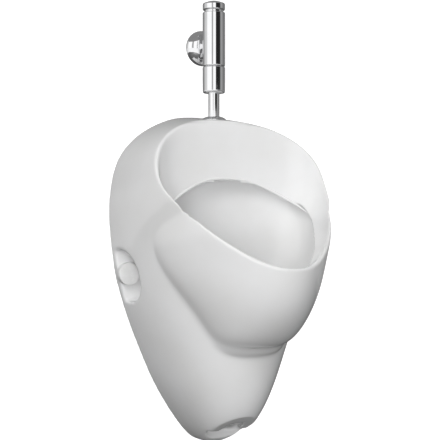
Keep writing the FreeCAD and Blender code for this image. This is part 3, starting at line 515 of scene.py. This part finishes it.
def dress(finish: bpy.types.Material, *nodes: str) -> None:
    """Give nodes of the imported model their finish.

    Args:
        finish: the material.
        nodes: the nodes' names.
    """
    for node in nodes:
        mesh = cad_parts[node].data
        mesh.materials.clear()
        mesh.materials.append(finish)
        LOG.info("%s: %s", node, finish.name)


# ---------------------------------------------------------------- china
@dataclass
class China:
    """The casting, with the soft edges that a poured glaze leaves.

    The lip of the ledge is given from the middle outwards, as (across, depth, height) in
    millimetres, and mirrored.
    """

    finishes: Finishes
    grain: float = 1.7 * MM
    passes: int = 14
    seat_passes: int = 2
    triangles: int = 180_000
    seat_reach: float = 34 * MM
    seat_rise: float = 16 * MM
    inlet_reach: float = 20 * MM
    lug_reach: float = 17 * MM
    bare_depth: float = 1.2 * MM
    lip: tuple[Point, ...] = ((0, 86, 150), (20, 87, 149), (40, 88.5, 146), (70, 95, 134),
                              (100, 107, 117), (112, 114, 109), (126, 130, 94))
    lip_reach: float = 24 * MM
    lip_drop: float = 8.0 * MM
    lip_ends: tuple[float, float] = (84 * MM, 124 * MM)
    lip_depths: tuple[float, float] = (60 * MM, 155 * MM)
    lip_heights: tuple[float, float] = (60 * MM, 190 * MM)
    bead: float = 2.4 * MM
    bead_inset: float = 1.9 * MM
    bead_drop: float = 0.6 * MM
    bridge_low: Point = (-30 * MM, -80 * MM, 160.6 * MM)
    bridge_high: Point = (30 * MM, -66 * MM, 175 * MM)
    crease_low: Point = (-140 * MM, -214 * MM, -136 * MM)
    crease_high: Point = (140 * MM, -56 * MM, 56 * MM)
    crease_passes: int = 48
    crease_fade: float = 0.8 * MM

    def build(self) -> bpy.types.Object:
        """Grow an even skin over the node, smooth its edges and glaze it."""
        skin = self.skin()
        self.smooth(skin)
        made = self.thinned(linked("china_fine", skin), self.nose())
        made.data.materials.append(self.finishes.glaze)
        made.data.materials.append(self.finishes.bisque)
        for face in made.data.polygons:
            if face.center.y > -self.bare_depth:
                face.material_index = 1
        return keep(made, self.finishes.glaze, Body.FIXED, "china", "urinal_body")

    def skin(self) -> bmesh.types.BMesh:
        """Give an even mesh over a merged copy of the node, with a full ledge at the spill slot.

        Returns:
            The mesh.
        """
        blank = bmesh.new()
        blank.from_mesh(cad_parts["urinal_body"].data)
        bmesh.ops.remove_doubles(blank, verts=blank.verts, dist=1e-6)
        low, high = Vector(self.bridge_low), Vector(self.bridge_high)
        bmesh.ops.create_cube(blank, size=1.0, matrix=Matrix.LocRotScale(
            (low + high) / 2, None, high - low))
        core = linked("china_core", blank)
        even = core.modifiers.new("even_skin", "REMESH")
        even.mode = "VOXEL"
        even.voxel_size = self.grain
        seen = core.evaluated_get(bpy.context.evaluated_depsgraph_get())
        skin = bmesh.new()
        skin.from_mesh(seen.to_mesh())
        seen.to_mesh_clear()
        bpy.data.objects.remove(core)
        return skin

    def nose(self) -> bpy.types.Object:
        """Draw the round nose of the ledge's lip as a bar that fades at both ends.

        Returns:
            The bar.
        """
        spots = [(-across, depth, height) for across, depth, height in self.lip[:0:-1]]
        spots += self.lip
        data = bpy.data.curves.new("lip_nose", "CURVE")
        data.dimensions = "3D"
        data.bevel_depth = self.bead
        data.bevel_resolution = 4
        data.resolution_u = 10
        line = data.splines.new("BEZIER")
        line.bezier_points.add(len(spots) - 1)
        for point, (across, depth, height) in zip(line.bezier_points, spots):
            point.co = (across * MM, self.bead_inset - depth * MM, height * MM - self.bead_drop)
            point.handle_left_type = point.handle_right_type = "AUTO"
        line.bezier_points[0].radius = line.bezier_points[-1].radius = 0.05
        made = bpy.data.objects.new("lip_nose", data)
        bpy.context.scene.collection.objects.link(made)
        return made

    def thinned(self, fine: bpy.types.Object, nose: bpy.types.Object) -> bpy.types.Object:
        """Merge faces where the surface is calm, down to the number wanted.

        Args:
            fine: the fine skin, which is removed.
            nose: the bar to add as it is, which is removed.

        Returns:
            The lighter skin.
        """
        fewer = fine.modifiers.new("fewer_faces", "DECIMATE")
        fewer.ratio = min(1.0, self.triangles / (2 * len(fine.data.polygons)))
        seen = fine.evaluated_get(bpy.context.evaluated_depsgraph_get())
        light = bmesh.new()
        light.from_mesh(seen.to_mesh())
        seen.to_mesh_clear()
        bar = nose.evaluated_get(bpy.context.evaluated_depsgraph_get())
        light.from_mesh(bar.to_mesh())
        bar.to_mesh_clear()
        for spent in (fine, nose):
            bpy.data.objects.remove(spent)
        return linked("china_body", light)

    def smooth(self, skin: bmesh.types.BMesh) -> None:
        """Round every edge, and those that other pieces sit on only a little.

        Args:
            skin: the mesh, which is changed.
        """
        drain, inlet = Span.of("waste_outlet"), Span.of("flush_pipe")
        cap = Span.of("cover_caps")
        inner = cap.high.x - 2 * self.lug_reach

        def is_seat(spot: Vector) -> bool:
            """Tell whether a point is near the drain, the water inlet or a fixing lug.

            Args:
                spot: the point.

            Returns:
                Whether it is.
            """
            if spot.y > cap.low.y and abs(spot.z) < self.lug_reach and abs(spot.x) > inner:
                return True
            if spot.z > inlet.low.z:
                return (spot.xy - inlet.centre.xy).length < self.inlet_reach
            is_low = spot.z < drain.high.z + self.seat_rise
            return is_low and (spot.xy - drain.centre.xy).length < self.seat_reach

        free = [vert for vert in skin.verts if not is_seat(vert.co)]
        for turn in range(self.passes):
            self.even_out(skin, list(skin.verts) if turn < self.seat_passes else free)
        self.lower_lip(skin)
        depths = [(vert, self.crease_depth(vert.co)) for vert in free]
        for turn in range(self.crease_passes):
            self.even_out(skin, [vert for vert, depth in depths if depth > turn * self.crease_fade])

    def even_out(self, skin: bmesh.types.BMesh, verts: list[bmesh.types.BMVert]) -> None:
        """Move some points half way to the middle of their neighbours."""
        bmesh.ops.smooth_vert(skin, verts=verts, factor=0.5, use_axis_x=True, use_axis_y=True,
                              use_axis_z=True)

    def crease_depth(self, spot: Vector) -> float:
        """Tell how deep a point lies inside the box about the belly's crease.

        Args:
            spot: the point.

        Returns:
            The distance to the nearest side of the box, below nought outside it.
        """
        return min(min(here - low, high - here)
                   for here, low, high in zip(spot, self.crease_low, self.crease_high))

    def lip_gap(self, spot: Vector) -> float:
        """Measure how far a point is from the ledge's lower lip.

        Args:
            spot: the point.

        Returns:
            The distance, or twice the reach where the point is plainly away from it.
        """
        near, far = self.lip_depths
        low, high = self.lip_heights
        gaps = [2 * self.lip_reach]
        if near < -spot.y < far and low < spot.z < high:
            here = Vector((abs(spot.x), -spot.y, spot.z))
            for first, last in zip(self.lip, self.lip[1:]):
                start, end = Vector(first) * MM, Vector(last) * MM
                share = (here - start).dot(end - start) / (end - start).length_squared
                gaps.append((here - start.lerp(end, min(1.0, max(0.0, share)))).length)
        return min(gaps)

    def lower_lip(self, skin: bmesh.types.BMesh) -> None:
        """Draw the ledge's lower lip down a little, less towards its ends.

        Args:
            skin: the mesh, which is changed.
        """
        start, end = self.lip_ends
        for vert in skin.verts:
            share = 1 - self.lip_gap(vert.co) / self.lip_reach
            along = min(1.0, max(0.0, (end - abs(vert.co.x)) / (end - start)))
            if share > 0:
                vert.co.z -= (self.lip_drop * share * share * (3 - 2 * share)
                              * along * along * (3 - 2 * along))


@dataclass
class Fixings:
    """The screws out of the wall with what holds the china on them."""

    finishes: Finishes
    cap_edge: float = 2.4 * MM
    cap_crown: float = 0.9 * MM
    cap_wall: float = 1.6 * MM
    cap_corner: float = 50.0

    def build(self) -> None:
        """Make both caps and finish the metal behind them."""
        both = Span.of("cover_caps")
        radius = (both.high.z - both.low.z) / 2
        shape = bmesh.new()
        for side in (-1, 1):
            cap = self.cap(radius, -both.low.y, -both.high.y)
            placed(cap, Way.OUT_OF_WALL, Vector((side * (both.high.x - radius), 0, 0)))
            part = bpy.data.meshes.new("cap_part")
            cap.to_mesh(part)
            shape.from_mesh(part)
            cap.free()
        caps = linked("screw_caps", shape)
        keep(caps, self.finishes.cap_plastic, Body.FIXED, "cap_white", "cover_caps")
        dress(self.finishes.zinc, "fixing_screws", "fixing_washers", "fixing_nuts")
        dress(self.finishes.white_plastic, "fixing_bushes")

    def cap(self, radius: float, front: float, back: float) -> bmesh.types.BMesh:
        """Turn one cap.

        Args:
            radius: its outer radius.
            front: the depth of its face.
            back: the depth of its open end.

        Returns:
            The mesh, upright.
        """
        inner = radius - self.cap_wall
        face = front - self.cap_crown
        outline = [(0.0, front - self.cap_wall), (inner, face - self.cap_wall), (inner, back),
                   (radius, back), (radius, face)]
        outline += arc((radius, face), (0.0, front), self.cap_crown * 0.6, 6)[1:]
        shape = spun(outline + [(0.0, front)], hold=2 * self.cap_edge)
        soften(shape, self.cap_edge, 4, math.radians(self.cap_corner))
        return shape


# ---------------------------------------------------------------- chromed pieces
@dataclass
class FlushPipe:
    """The pipe between valve and china, with the flange that covers its seal."""

    finishes: Finishes
    wall: float = 1.0 * MM
    collar_edge: float = 1.4 * MM
    collar_neck: float = 2.0 * MM
    collar_wall: float = 1.2 * MM
    collar_rise: float = 0.9 * MM
    seal_height: float = 1.6 * MM
    play: float = 0.2 * MM
    soft: float = 0.4 * MM

    def build(self) -> None:
        """Make pipe and flange, and finish the rubber."""
        pipe, flange = Span.of("flush_pipe"), Span.of("pipe_flange")
        axis = Vector((pipe.centre.x, pipe.centre.y, 0))
        bore, outer = pipe.radius - self.wall, pipe.radius
        shape = spun([(bore, pipe.low.z), (outer, pipe.low.z), (outer, pipe.high.z),
                      (bore, pipe.high.z)])
        soften(shape, self.soft)
        made = linked("pipe_18", placed(shape, Way.UP, axis))
        keep(made, self.finishes.chrome, Body.FIXED, "chrome", "flush_pipe")
        shape = spun(self.collar(flange, outer))
        soften(shape, self.soft)
        made = linked("pipe_collar", placed(shape, Way.UP, axis))
        keep(made, self.finishes.chrome, Body.FIXED, "chrome", "pipe_flange")
        dress(self.finishes.rubber, "pipe_seal")

    def collar(self, flange: Span, pipe: float) -> Outline:
        """Give the flange's outline: a flat rim, a hollow sweep and a small neck.

        Args:
            flange: where it lies.
            pipe: the pipe's radius.

        Returns:
            The outline.
        """
        low, high = flange.low.z, flange.high.z
        hole, edge = pipe + self.play, low + self.collar_edge
        neck, inner = pipe + self.collar_neck, flange.radius - self.collar_wall
        seal = low + self.seal_height
        sweep = arc((flange.radius, edge), (neck, high), self.collar_rise, 8)
        return [(hole, seal), (inner, seal), (inner, low), (flange.radius, low)] + sweep + [
            (neck, high), (hole, high)]


@dataclass
class OutletSleeve:
    """The long nut under the valve, which holds the pipe and the air inlet."""

    finishes: Finishes
    soft: float = 0.35 * MM
    foot_draw: float = 0.2 * MM
    foot_round: float = 3.0 * MM
    straight: float = 20.8 * MM
    joint_chamfer: float = 1.4 * MM
    wall: float = 2.6 * MM
    seat_drop: float = 1.0 * MM
    pipe_play: float = 0.3 * MM
    ring_play: float = 0.1 * MM

    def build(self) -> None:
        """Make the sleeve and finish what it holds."""
        sleeve, thread = Span.of("outlet_sleeve"), Span.of("valve_body")
        pipe, ring = Span.of("flush_pipe"), Span.of("slip_ring")
        axis = Vector((sleeve.centre.x, sleeve.centre.y, 0))
        outer, low, high = sleeve.radius, sleeve.low.z, sleeve.high.z
        foot, hole = outer - self.foot_draw, pipe.radius + self.pipe_play
        inner, seat = ring.radius + self.ring_play, thread.low.z - self.seat_drop
        turn = self.foot_round * (1 - math.sqrt(0.5))
        corner = arc((foot - self.foot_round, low), (foot, low + self.foot_round), turn, 6)
        outline = [(hole, low)] + corner + [
            (foot, low + self.foot_round), (outer, high - self.straight),
            (outer, high - self.joint_chamfer), (outer - self.joint_chamfer, high),
            (outer - self.wall, high), (outer - self.wall, seat), (inner, seat),
            (inner, ring.low.z), (hole, ring.low.z)]
        shape = spun(outline, FINE_STEPS)
        soften(shape, self.soft)
        made = linked("union_sleeve", placed(shape, Way.UP, axis))
        keep(made, self.finishes.chrome, Body.FIXED, "chrome", "outlet_sleeve")
        dress(self.finishes.rubber, "cone_seal", "outlet_gasket", "breaker_disc")
        dress(self.finishes.brass, "slip_ring")
        dress(self.finishes.grey_plastic, "breaker_insert")


@dataclass
class FlushValve:
    """The self-closing valve: turned body, cartridge and push button."""

    finishes: Finishes
    soft: float = 0.3 * MM
    joint_chamfer: float = 1.4 * MM
    shoulder: float = 9.7 * MM
    shoulder_edge: float = 0.8 * MM
    neck: float = 15.2 * MM
    chamber: float = 13.2 * MM
    thread: float = 15.5 * MM
    joint_drop: float = 15.4 * MM
    seat: float = 7.0 * MM
    seat_level: float = 24.2 * MM
    boss: float = 13.0 * MM
    boss_back: float = 18.0 * MM
    boss_overlap: float = 1.5 * MM
    button_chamfer: float = 1.6 * MM
    button_round: float = 3.2 * MM
    button_crown: float = 3.6 * MM
    button_wall: float = 2.0 * MM
    button_play: float = 0.5 * MM
    button_rise: float = 0.75 * MM

    def build(self) -> None:
        """Make the body and the button, and finish the inner pieces."""
        body, button = Span.of("valve_body"), Span.of("push_button")
        pipe = Span.of("flush_pipe")
        axis = Vector((pipe.centre.x, pipe.centre.y, 0))
        shape = spun(self.barrel(body, button), FINE_STEPS)
        soften(shape, self.soft)
        made = linked("valve_barrel", placed(shape, Way.UP, axis))
        made = self.with_boss(made, axis)
        keep(made, self.finishes.chrome, Body.FIXED, "chrome", "valve_body")
        shape = spun(self.cap(button), FINE_STEPS)
        soften(shape, self.soft)
        made = linked("button_cap", placed(shape, Way.UP, axis))
        keep(made, self.finishes.chrome, Body.BUTTON, "chrome", "push_button")
        dress(self.finishes.grey_plastic, "piston")
        dress(self.finishes.rubber, "piston_seal", "seat_washer", "bonnet_o_ring")
        dress(self.finishes.brass, "cartridge_sleeve", "bonnet", "button_stem")
        dress(self.finishes.steel, "button_clip", "return_spring")

    def barrel(self, body: Span, button: Span) -> Outline:
        """Give the body's outline from its threaded foot to its neck.

        Args:
            body: where the node lies.
            button: where the button lies, which is as wide as the body.

        Returns:
            The outline.
        """
        low, high, outer = body.low.z, body.high.z, button.radius
        joint = low + self.joint_drop
        shoulder = high - self.shoulder
        return [(self.seat, low), (self.thread, low), (self.thread, joint),
                (outer - self.joint_chamfer, joint), (outer, joint + self.joint_chamfer),
                (outer, shoulder - self.shoulder_edge), (outer - self.shoulder_edge, shoulder),
                (self.neck, shoulder), (self.neck, high), (self.chamber, high),
                (self.chamber, low + self.seat_level), (self.seat, low + self.seat_level)]

    def with_boss(self, barrel: bpy.types.Object, axis: Vector) -> bpy.types.Object:
        """Join the boss that faces the wall to the body.

        Args:
            barrel: the turned body.
            axis: the body's axis.

        Returns:
            The body with its boss.
        """
        neck = Span.of("inlet_neck")
        end = -axis.y - self.chamber - self.boss_overlap
        shape = spun([(neck.radius * 0.9, self.boss_back), (self.boss, self.boss_back),
                      (self.boss, end), (neck.radius * 0.9, end)])
        soften(shape, self.soft * 2)
        boss = linked("boss", placed(shape, Way.OUT_OF_WALL, Vector((0, 0, neck.centre.z))))
        union = barrel.modifiers.new("boss", "BOOLEAN")
        union.operation = "UNION"
        union.object = boss
        union.solver = "EXACT"
        seen = barrel.evaluated_get(bpy.context.evaluated_depsgraph_get())
        shape = bmesh.new()
        shape.from_mesh(seen.to_mesh())
        seen.to_mesh_clear()
        for spent in (barrel, boss):
            bpy.data.objects.remove(spent)
        return linked("valve_shell", shape)

    def cap(self, button: Span) -> Outline:
        """Give the button's outline: a hollow cap with a round edge and a low crown.

        Args:
            button: where the node lies.

        Returns:
            The outline.
        """
        low, high, outer = button.low.z, button.high.z, button.radius
        edge = high - self.button_crown
        inner, ceiling = self.neck + self.button_play, edge - self.button_wall
        turn = self.button_round * (1 - math.sqrt(0.5))
        corner = arc((outer, edge - self.button_round), (outer - self.button_round, edge), turn, 6)
        crown = arc((outer - self.button_round, edge), (0.0, high), self.button_rise, 10)
        return [(0.0, ceiling), (inner, ceiling), (inner, low),
                (outer - self.button_chamfer, low), (outer, low + self.button_chamfer)
                ] + corner + crown + [(0.0, high)]


@dataclass
class WallInlet:
    """The neck into the wall fitting and the rosette that covers the hole."""

    finishes: Finishes
    soft: float = 0.3 * MM
    bore: float = 7.0 * MM
    thread: float = 10.4 * MM
    run: float = 9.9 * MM
    collar: float = 17.8 * MM
    collar_back: float = 15.8 * MM
    rim: float = 1.8 * MM
    step: float = 25.6 * MM
    step_depth: float = 8.5 * MM
    side_rise: float = 0.75 * MM
    face_rise: float = 1.5 * MM
    wall: float = 1.2 * MM
    play: float = 0.3 * MM

    def build(self) -> None:
        """Make neck and rosette, and finish the seal."""
        neck, rosette = Span.of("inlet_neck"), Span.of("wall_rosette")
        place = Vector((0, 0, neck.centre.z))
        shape = spun([(self.bore, -neck.high.y), (self.thread, -neck.high.y), (self.thread, 0.0),
                      (self.run, 0.0), (self.run, self.collar_back),
                      (neck.radius, self.collar_back), (neck.radius, self.collar),
                      (self.run, self.collar), (self.run, -neck.low.y),
                      (self.bore, -neck.low.y)])
        soften(shape, self.soft)
        made = linked("wall_neck", placed(shape, Way.OUT_OF_WALL, place))
        keep(made, self.finishes.chrome, Body.FIXED, "chrome", "inlet_neck")
        shape = spun(self.bell(rosette, self.thread + self.play), FINE_STEPS)
        soften(shape, self.soft)
        made = linked("wall_cover", placed(shape, Way.OUT_OF_WALL, place))
        keep(made, self.finishes.chrome, Body.FIXED, "chrome", "wall_rosette")
        dress(self.finishes.rubber, "neck_o_ring")

    def bell(self, rosette: Span, hole: float) -> Outline:
        """Give the rosette's outline: rim, rounded side and domed face.

        Args:
            rosette: where the node lies.
            hole: the radius of its hole.

        Returns:
            The outline.
        """
        edge, depth = rosette.radius, -rosette.low.y
        side = arc((edge, self.rim), (self.step, self.step_depth), self.side_rise, 6)
        face = arc((self.step, self.step_depth), (hole, depth), self.face_rise, 12)
        inner = self.step - self.wall
        under = arc((hole, depth - self.wall), (inner, self.step_depth - self.wall),
                    -self.face_rise, 8)
        return [(edge - self.wall, 0.0), (edge, 0.0)] + side + face + [(hole, depth)] + under + [
            (inner, self.step_depth - self.wall)]


# ---------------------------------------------------------------- waste and trap
@dataclass
class Waste:
    """The grid and the flanged tube through the sump."""

    finishes: Finishes

    def build(self) -> None:
        """Finish the pieces of the waste."""
        dress(self.finishes.chrome, "waste_strainer")
        dress(self.finishes.steel, "strainer_screw")
        dress(self.finishes.rubber, "waste_gasket", "lower_gasket")
        dress(self.finishes.brass, "waste_outlet", "waste_back_nut")


@dataclass
class BottleTrap:
    """The bottle trap behind the cover, and the pipe into the wall."""

    finishes: Finishes

    def build(self) -> None:
        """Finish the pieces of the trap."""
        dress(self.finishes.white_plastic, "trap_body", "trap_cup", "trap_nut", "outlet_pipe_nut",
              "waste_pipe")
        dress(self.finishes.rubber, "trap_nut_seal", "trap_cup_seal", "outlet_pipe_seal")


# ---------------------------------------------------------------- studio
@dataclass
class Studio:
    """Pale floor, soft light, a tent that the chrome mirrors, and the camera."""

    floor_drop: float = 0.36
    floor_size: float = 40.0
    ambient: float = 0.40
    mirrored: float = 0.25
    aim: Point = (0.0, -0.12, 0.05)
    eye: Point = (-0.8488, -1.5935, 0.084)
    sight: Point = (0.4848, 0.8746, 0.0)
    lens: float = 90.0
    sensor: float = 36.0
    floor_tone: float = 0.14
    floor_glow: float = 0.9
    wall_tone: float = 0.3
    wall_glow: float = 1.0
    tent_radius: float = 3.2
    tent_low: float = -0.6
    tent_high: float = 2.6
    tent_seam: float = 0.57
    seam_width: float = 0.03
    brightest: float = 2.0
    high_tones: tuple[tuple[float, float], ...] = (
        (-180, 0.18), (-118, 0.30), (-104, 0.62), (-76, 0.72), (-68, 1.10), (-24, 1.15),
        (-20, 0.40), (-10, 0.40), (-6, 1.10), (17, 1.10), (21, 0.02), (62, 0.02), (70, 0.30),
        (88, 0.36), (108, 0.16), (140, 0.30), (152, 0.18), (180, 0.18))
    low_tones: tuple[tuple[float, float], ...] = (
        (-180, 0.20), (-135, 0.25), (-100, 0.80), (-50, 1.05), (0, 1.08), (26, 1.05), (44, 0.34),
        (110, 0.24), (140, 0.34), (180, 0.20))
    wall_gap: float = 0.0006
    wall_size: float = 12.0

    def build(self) -> None:
        """Set the stage."""
        self.floor()
        self.wall()
        self.world()
        self.tent()
        self.lamp("key", (-2.1, -2.1, 1.7), 1.6, 1.6, 40.0)
        self.lamp("fill", (2.2, -2.0, 0.5), 1.4, 2.0, 7.0)
        self.lamp("top", (0.1, -0.9, 2.6), 1.6, 1.6, 8.0)
        self.lamp("front", (-1.4, -2.6, -0.2), 1.2, 1.2, 40.0)
        self.camera()
        bpy.context.scene.view_settings.view_transform = "Standard"

    def floor(self) -> None:
        """Make the floor, which looks white where no shadow falls."""
        shape = bmesh.new()
        bmesh.ops.create_grid(shape, x_segments=2, y_segments=2, size=self.floor_size / 2)
        bmesh.ops.translate(shape, verts=shape.verts,
                            vec=(0, 0, CAD_BOX[0].z - self.floor_drop))
        made = linked("floor", shape)
        bench, _ = self.matt("floor_pale", self.floor_tone, self.floor_glow)
        made.data.materials.append(bench.material)

    def matt(self, name: str, tone: float, glow: float) -> tuple[Bench, bpy.types.NodeSocket]:
        """Start a matt material that glows in the picture only.

        Args:
            name: its name.
            tone: how pale it is in the lamps' light.
            glow: how bright it is in the picture without them.

        Returns:
            The material's bench, and the socket that is 1 where the camera looks straight at it.
        """
        bench = Bench(name)
        bench.fix(Base_Color=(tone, tone, tone, 1.0), Roughness=0.9,
                  Emission_Color=(glow, glow, glow, 1.0))
        seen = bench.add("ShaderNodeLightPath").outputs["Is Camera Ray"]
        bench.join(seen, bench.shader.inputs["Emission Strength"])
        return bench, seen

    def wall(self) -> None:
        """Stand the wall behind the object: white from the front, open from behind and to light."""
        shape = bmesh.new()
        bmesh.ops.create_grid(shape, x_segments=2, y_segments=2, size=self.wall_size / 2)
        made = linked("room_wall", placed(shape, Way.OUT_OF_WALL, Vector((0, self.wall_gap, 0))))
        bench, seen = self.matt("wall_pale", self.wall_tone, self.wall_glow)
        choose, clear = bench.add("ShaderNodeMixShader"), bench.add("ShaderNodeBsdfTransparent")
        sides = bench.add("ShaderNodeNewGeometry")
        front = bench.spread(sides.outputs["Backfacing"], 1.0, 0.0, 0.0, 1.0)
        shown = bench.add("ShaderNodeMath", operation="MULTIPLY")
        bench.join(front, shown.inputs[0])
        bench.join(seen, shown.inputs[1])
        bench.join(shown.outputs["Value"], choose.inputs[0])
        bench.join(clear.outputs["BSDF"], choose.inputs[1])
        bench.join(bench.shader.outputs["BSDF"], choose.inputs[2])
        bench.join(choose.outputs["Shader"], bench.tree.nodes["Material Output"].inputs["Surface"])
        made.data.materials.append(bench.material)
        made.visible_glossy = False

    def world(self) -> None:
        """Fill the room with even light, and show white behind the object."""
        world = bpy.data.worlds.new("studio")
        world.use_nodes = True
        bpy.context.scene.world = world
        tree = world.node_tree
        back = tree.nodes["Background"]
        back.inputs["Color"].default_value = (1, 1, 1, 1)
        path = tree.nodes.new("ShaderNodeLightPath")
        level = self.ambient
        for kind, strength in (("Is Glossy Ray", self.mirrored), ("Is Camera Ray", 1.0)):
            choose = tree.nodes.new("ShaderNodeMix")
            tree.links.new(path.outputs[kind], choose.inputs["Factor"])
            if isinstance(level, float):
                choose.inputs["A"].default_value = level
            else:
                tree.links.new(level, choose.inputs["A"])
            choose.inputs["B"].default_value = strength
            level = choose.outputs["Result"]
        tree.links.new(level, back.inputs["Strength"])

    def tent(self) -> None:
        """Stand a round tent of light and dark cloth about the object, for mirrored rays only."""
        shape = bmesh.new()
        bmesh.ops.create_cone(shape, segments=96, radius1=self.tent_radius,
                              radius2=self.tent_radius, cap_ends=False,
                              depth=self.tent_high - self.tent_low)
        bmesh.ops.translate(shape, verts=shape.verts,
                            vec=(0, 0, (self.tent_high + self.tent_low) / 2))
        made = linked("tent", shape)
        bench = Bench("tent_cloth")
        ahead = math.atan2(self.eye[1], self.eye[0])
        turn = bench.add("ShaderNodeVectorRotate", rotation_type="Z_AXIS")
        bench.join(bench.place, turn.inputs["Vector"])
        turn.inputs["Angle"].default_value = -ahead
        around = bench.add("ShaderNodeTexGradient", gradient_type="RADIAL")
        bench.join(turn.outputs["Vector"], around.inputs["Vector"])
        height = bench.add("ShaderNodeSeparateXYZ")
        bench.join(bench.place, height.inputs["Vector"])
        share = bench.spread(height.outputs["Z"], 0.0, 1.0, self.tent_seam - self.seam_width / 2,
                             self.tent_seam + self.seam_width / 2)
        tones = [self.stripes(bench, around.outputs["Fac"], zone)
                 for zone in (self.low_tones, self.high_tones)]
        glow = bench.add("ShaderNodeEmission")
        bench.join(bench.blend(share, *tones), glow.inputs["Color"])
        glow.inputs["Strength"].default_value = self.brightest
        bench.join(glow.outputs["Emission"], bench.tree.nodes["Material Output"].inputs["Surface"])
        made.data.materials.append(bench.material)
        made.visible_camera = False
        made.visible_diffuse = False
        made.visible_shadow = False
        made.visible_transmission = False

    def stripes(self, bench: Bench, around: bpy.types.NodeSocket,
                tones: tuple[tuple[float, float], ...]) -> bpy.types.NodeSocket:
        """Lay one zone of the tent's stripes round it.

        Args:
            bench: the tent's material.
            around: the way round the tent, 0 to 1.
            tones: (degrees to the right of the eye, tone) in order.

        Returns:
            The tone as a share of the brightest, as a colour.
        """
        ramp = bench.add("ShaderNodeValToRGB")
        bench.join(around, ramp.inputs["Fac"])
        stops = ramp.color_ramp.elements
        while len(stops) < len(tones):
            stops.new(0.5)
        for stop, (angle, tone) in zip(stops, tones):
            stop.position = (angle + 180) / 360
            stop.color = (*[tone / self.brightest] * 3, 1.0)
        return ramp.outputs["Color"]

    def lamp(self, name: str, place: Point, width: float, height: float,
             power: float) -> None:
        """Hang a soft lamp that looks at the object.

        Args:
            name: its name.
            place: where it hangs.
            width: its width.
            height: its height.
            power: its power in watts.
        """
        data = bpy.data.lights.new(name, "AREA")
        data.shape = "RECTANGLE"
        data.size = width
        data.size_y = height
        data.energy = power
        made = bpy.data.objects.new(name, data)
        made.location = place
        made.rotation_euler = (Vector(self.aim) - Vector(place)).to_track_quat("-Z", "Y").to_euler()
        made.visible_glossy = False
        bpy.context.scene.collection.objects.link(made)

    def camera(self) -> None:
        """Stand the camera where the picture was taken."""
        data = bpy.data.cameras.new("camera")
        data.lens = self.lens
        data.sensor_width = self.sensor
        made = bpy.data.objects.new("camera", data)
        made.location = self.eye
        made.rotation_mode = "QUATERNION"
        made.rotation_quaternion = Vector(self.sight).to_track_quat("-Z", "Y")
        bpy.context.scene.collection.objects.link(made)
        bpy.context.scene.camera = made


def main() -> None:
    """Build every sub-assembly in order, then the studio."""
    logging.basicConfig(level=logging.INFO, format="%(name)s: %(message)s")
    finishes = Finishes()
    for assembly in (China, Fixings, FlushPipe, OutletSleeve, FlushValve, WallInlet, Waste,
                     BottleTrap):
        LOG.info("building %s", assembly.__name__)
        assembly(finishes).build()
    Studio().build()


if __name__ == "__main__":
    main()
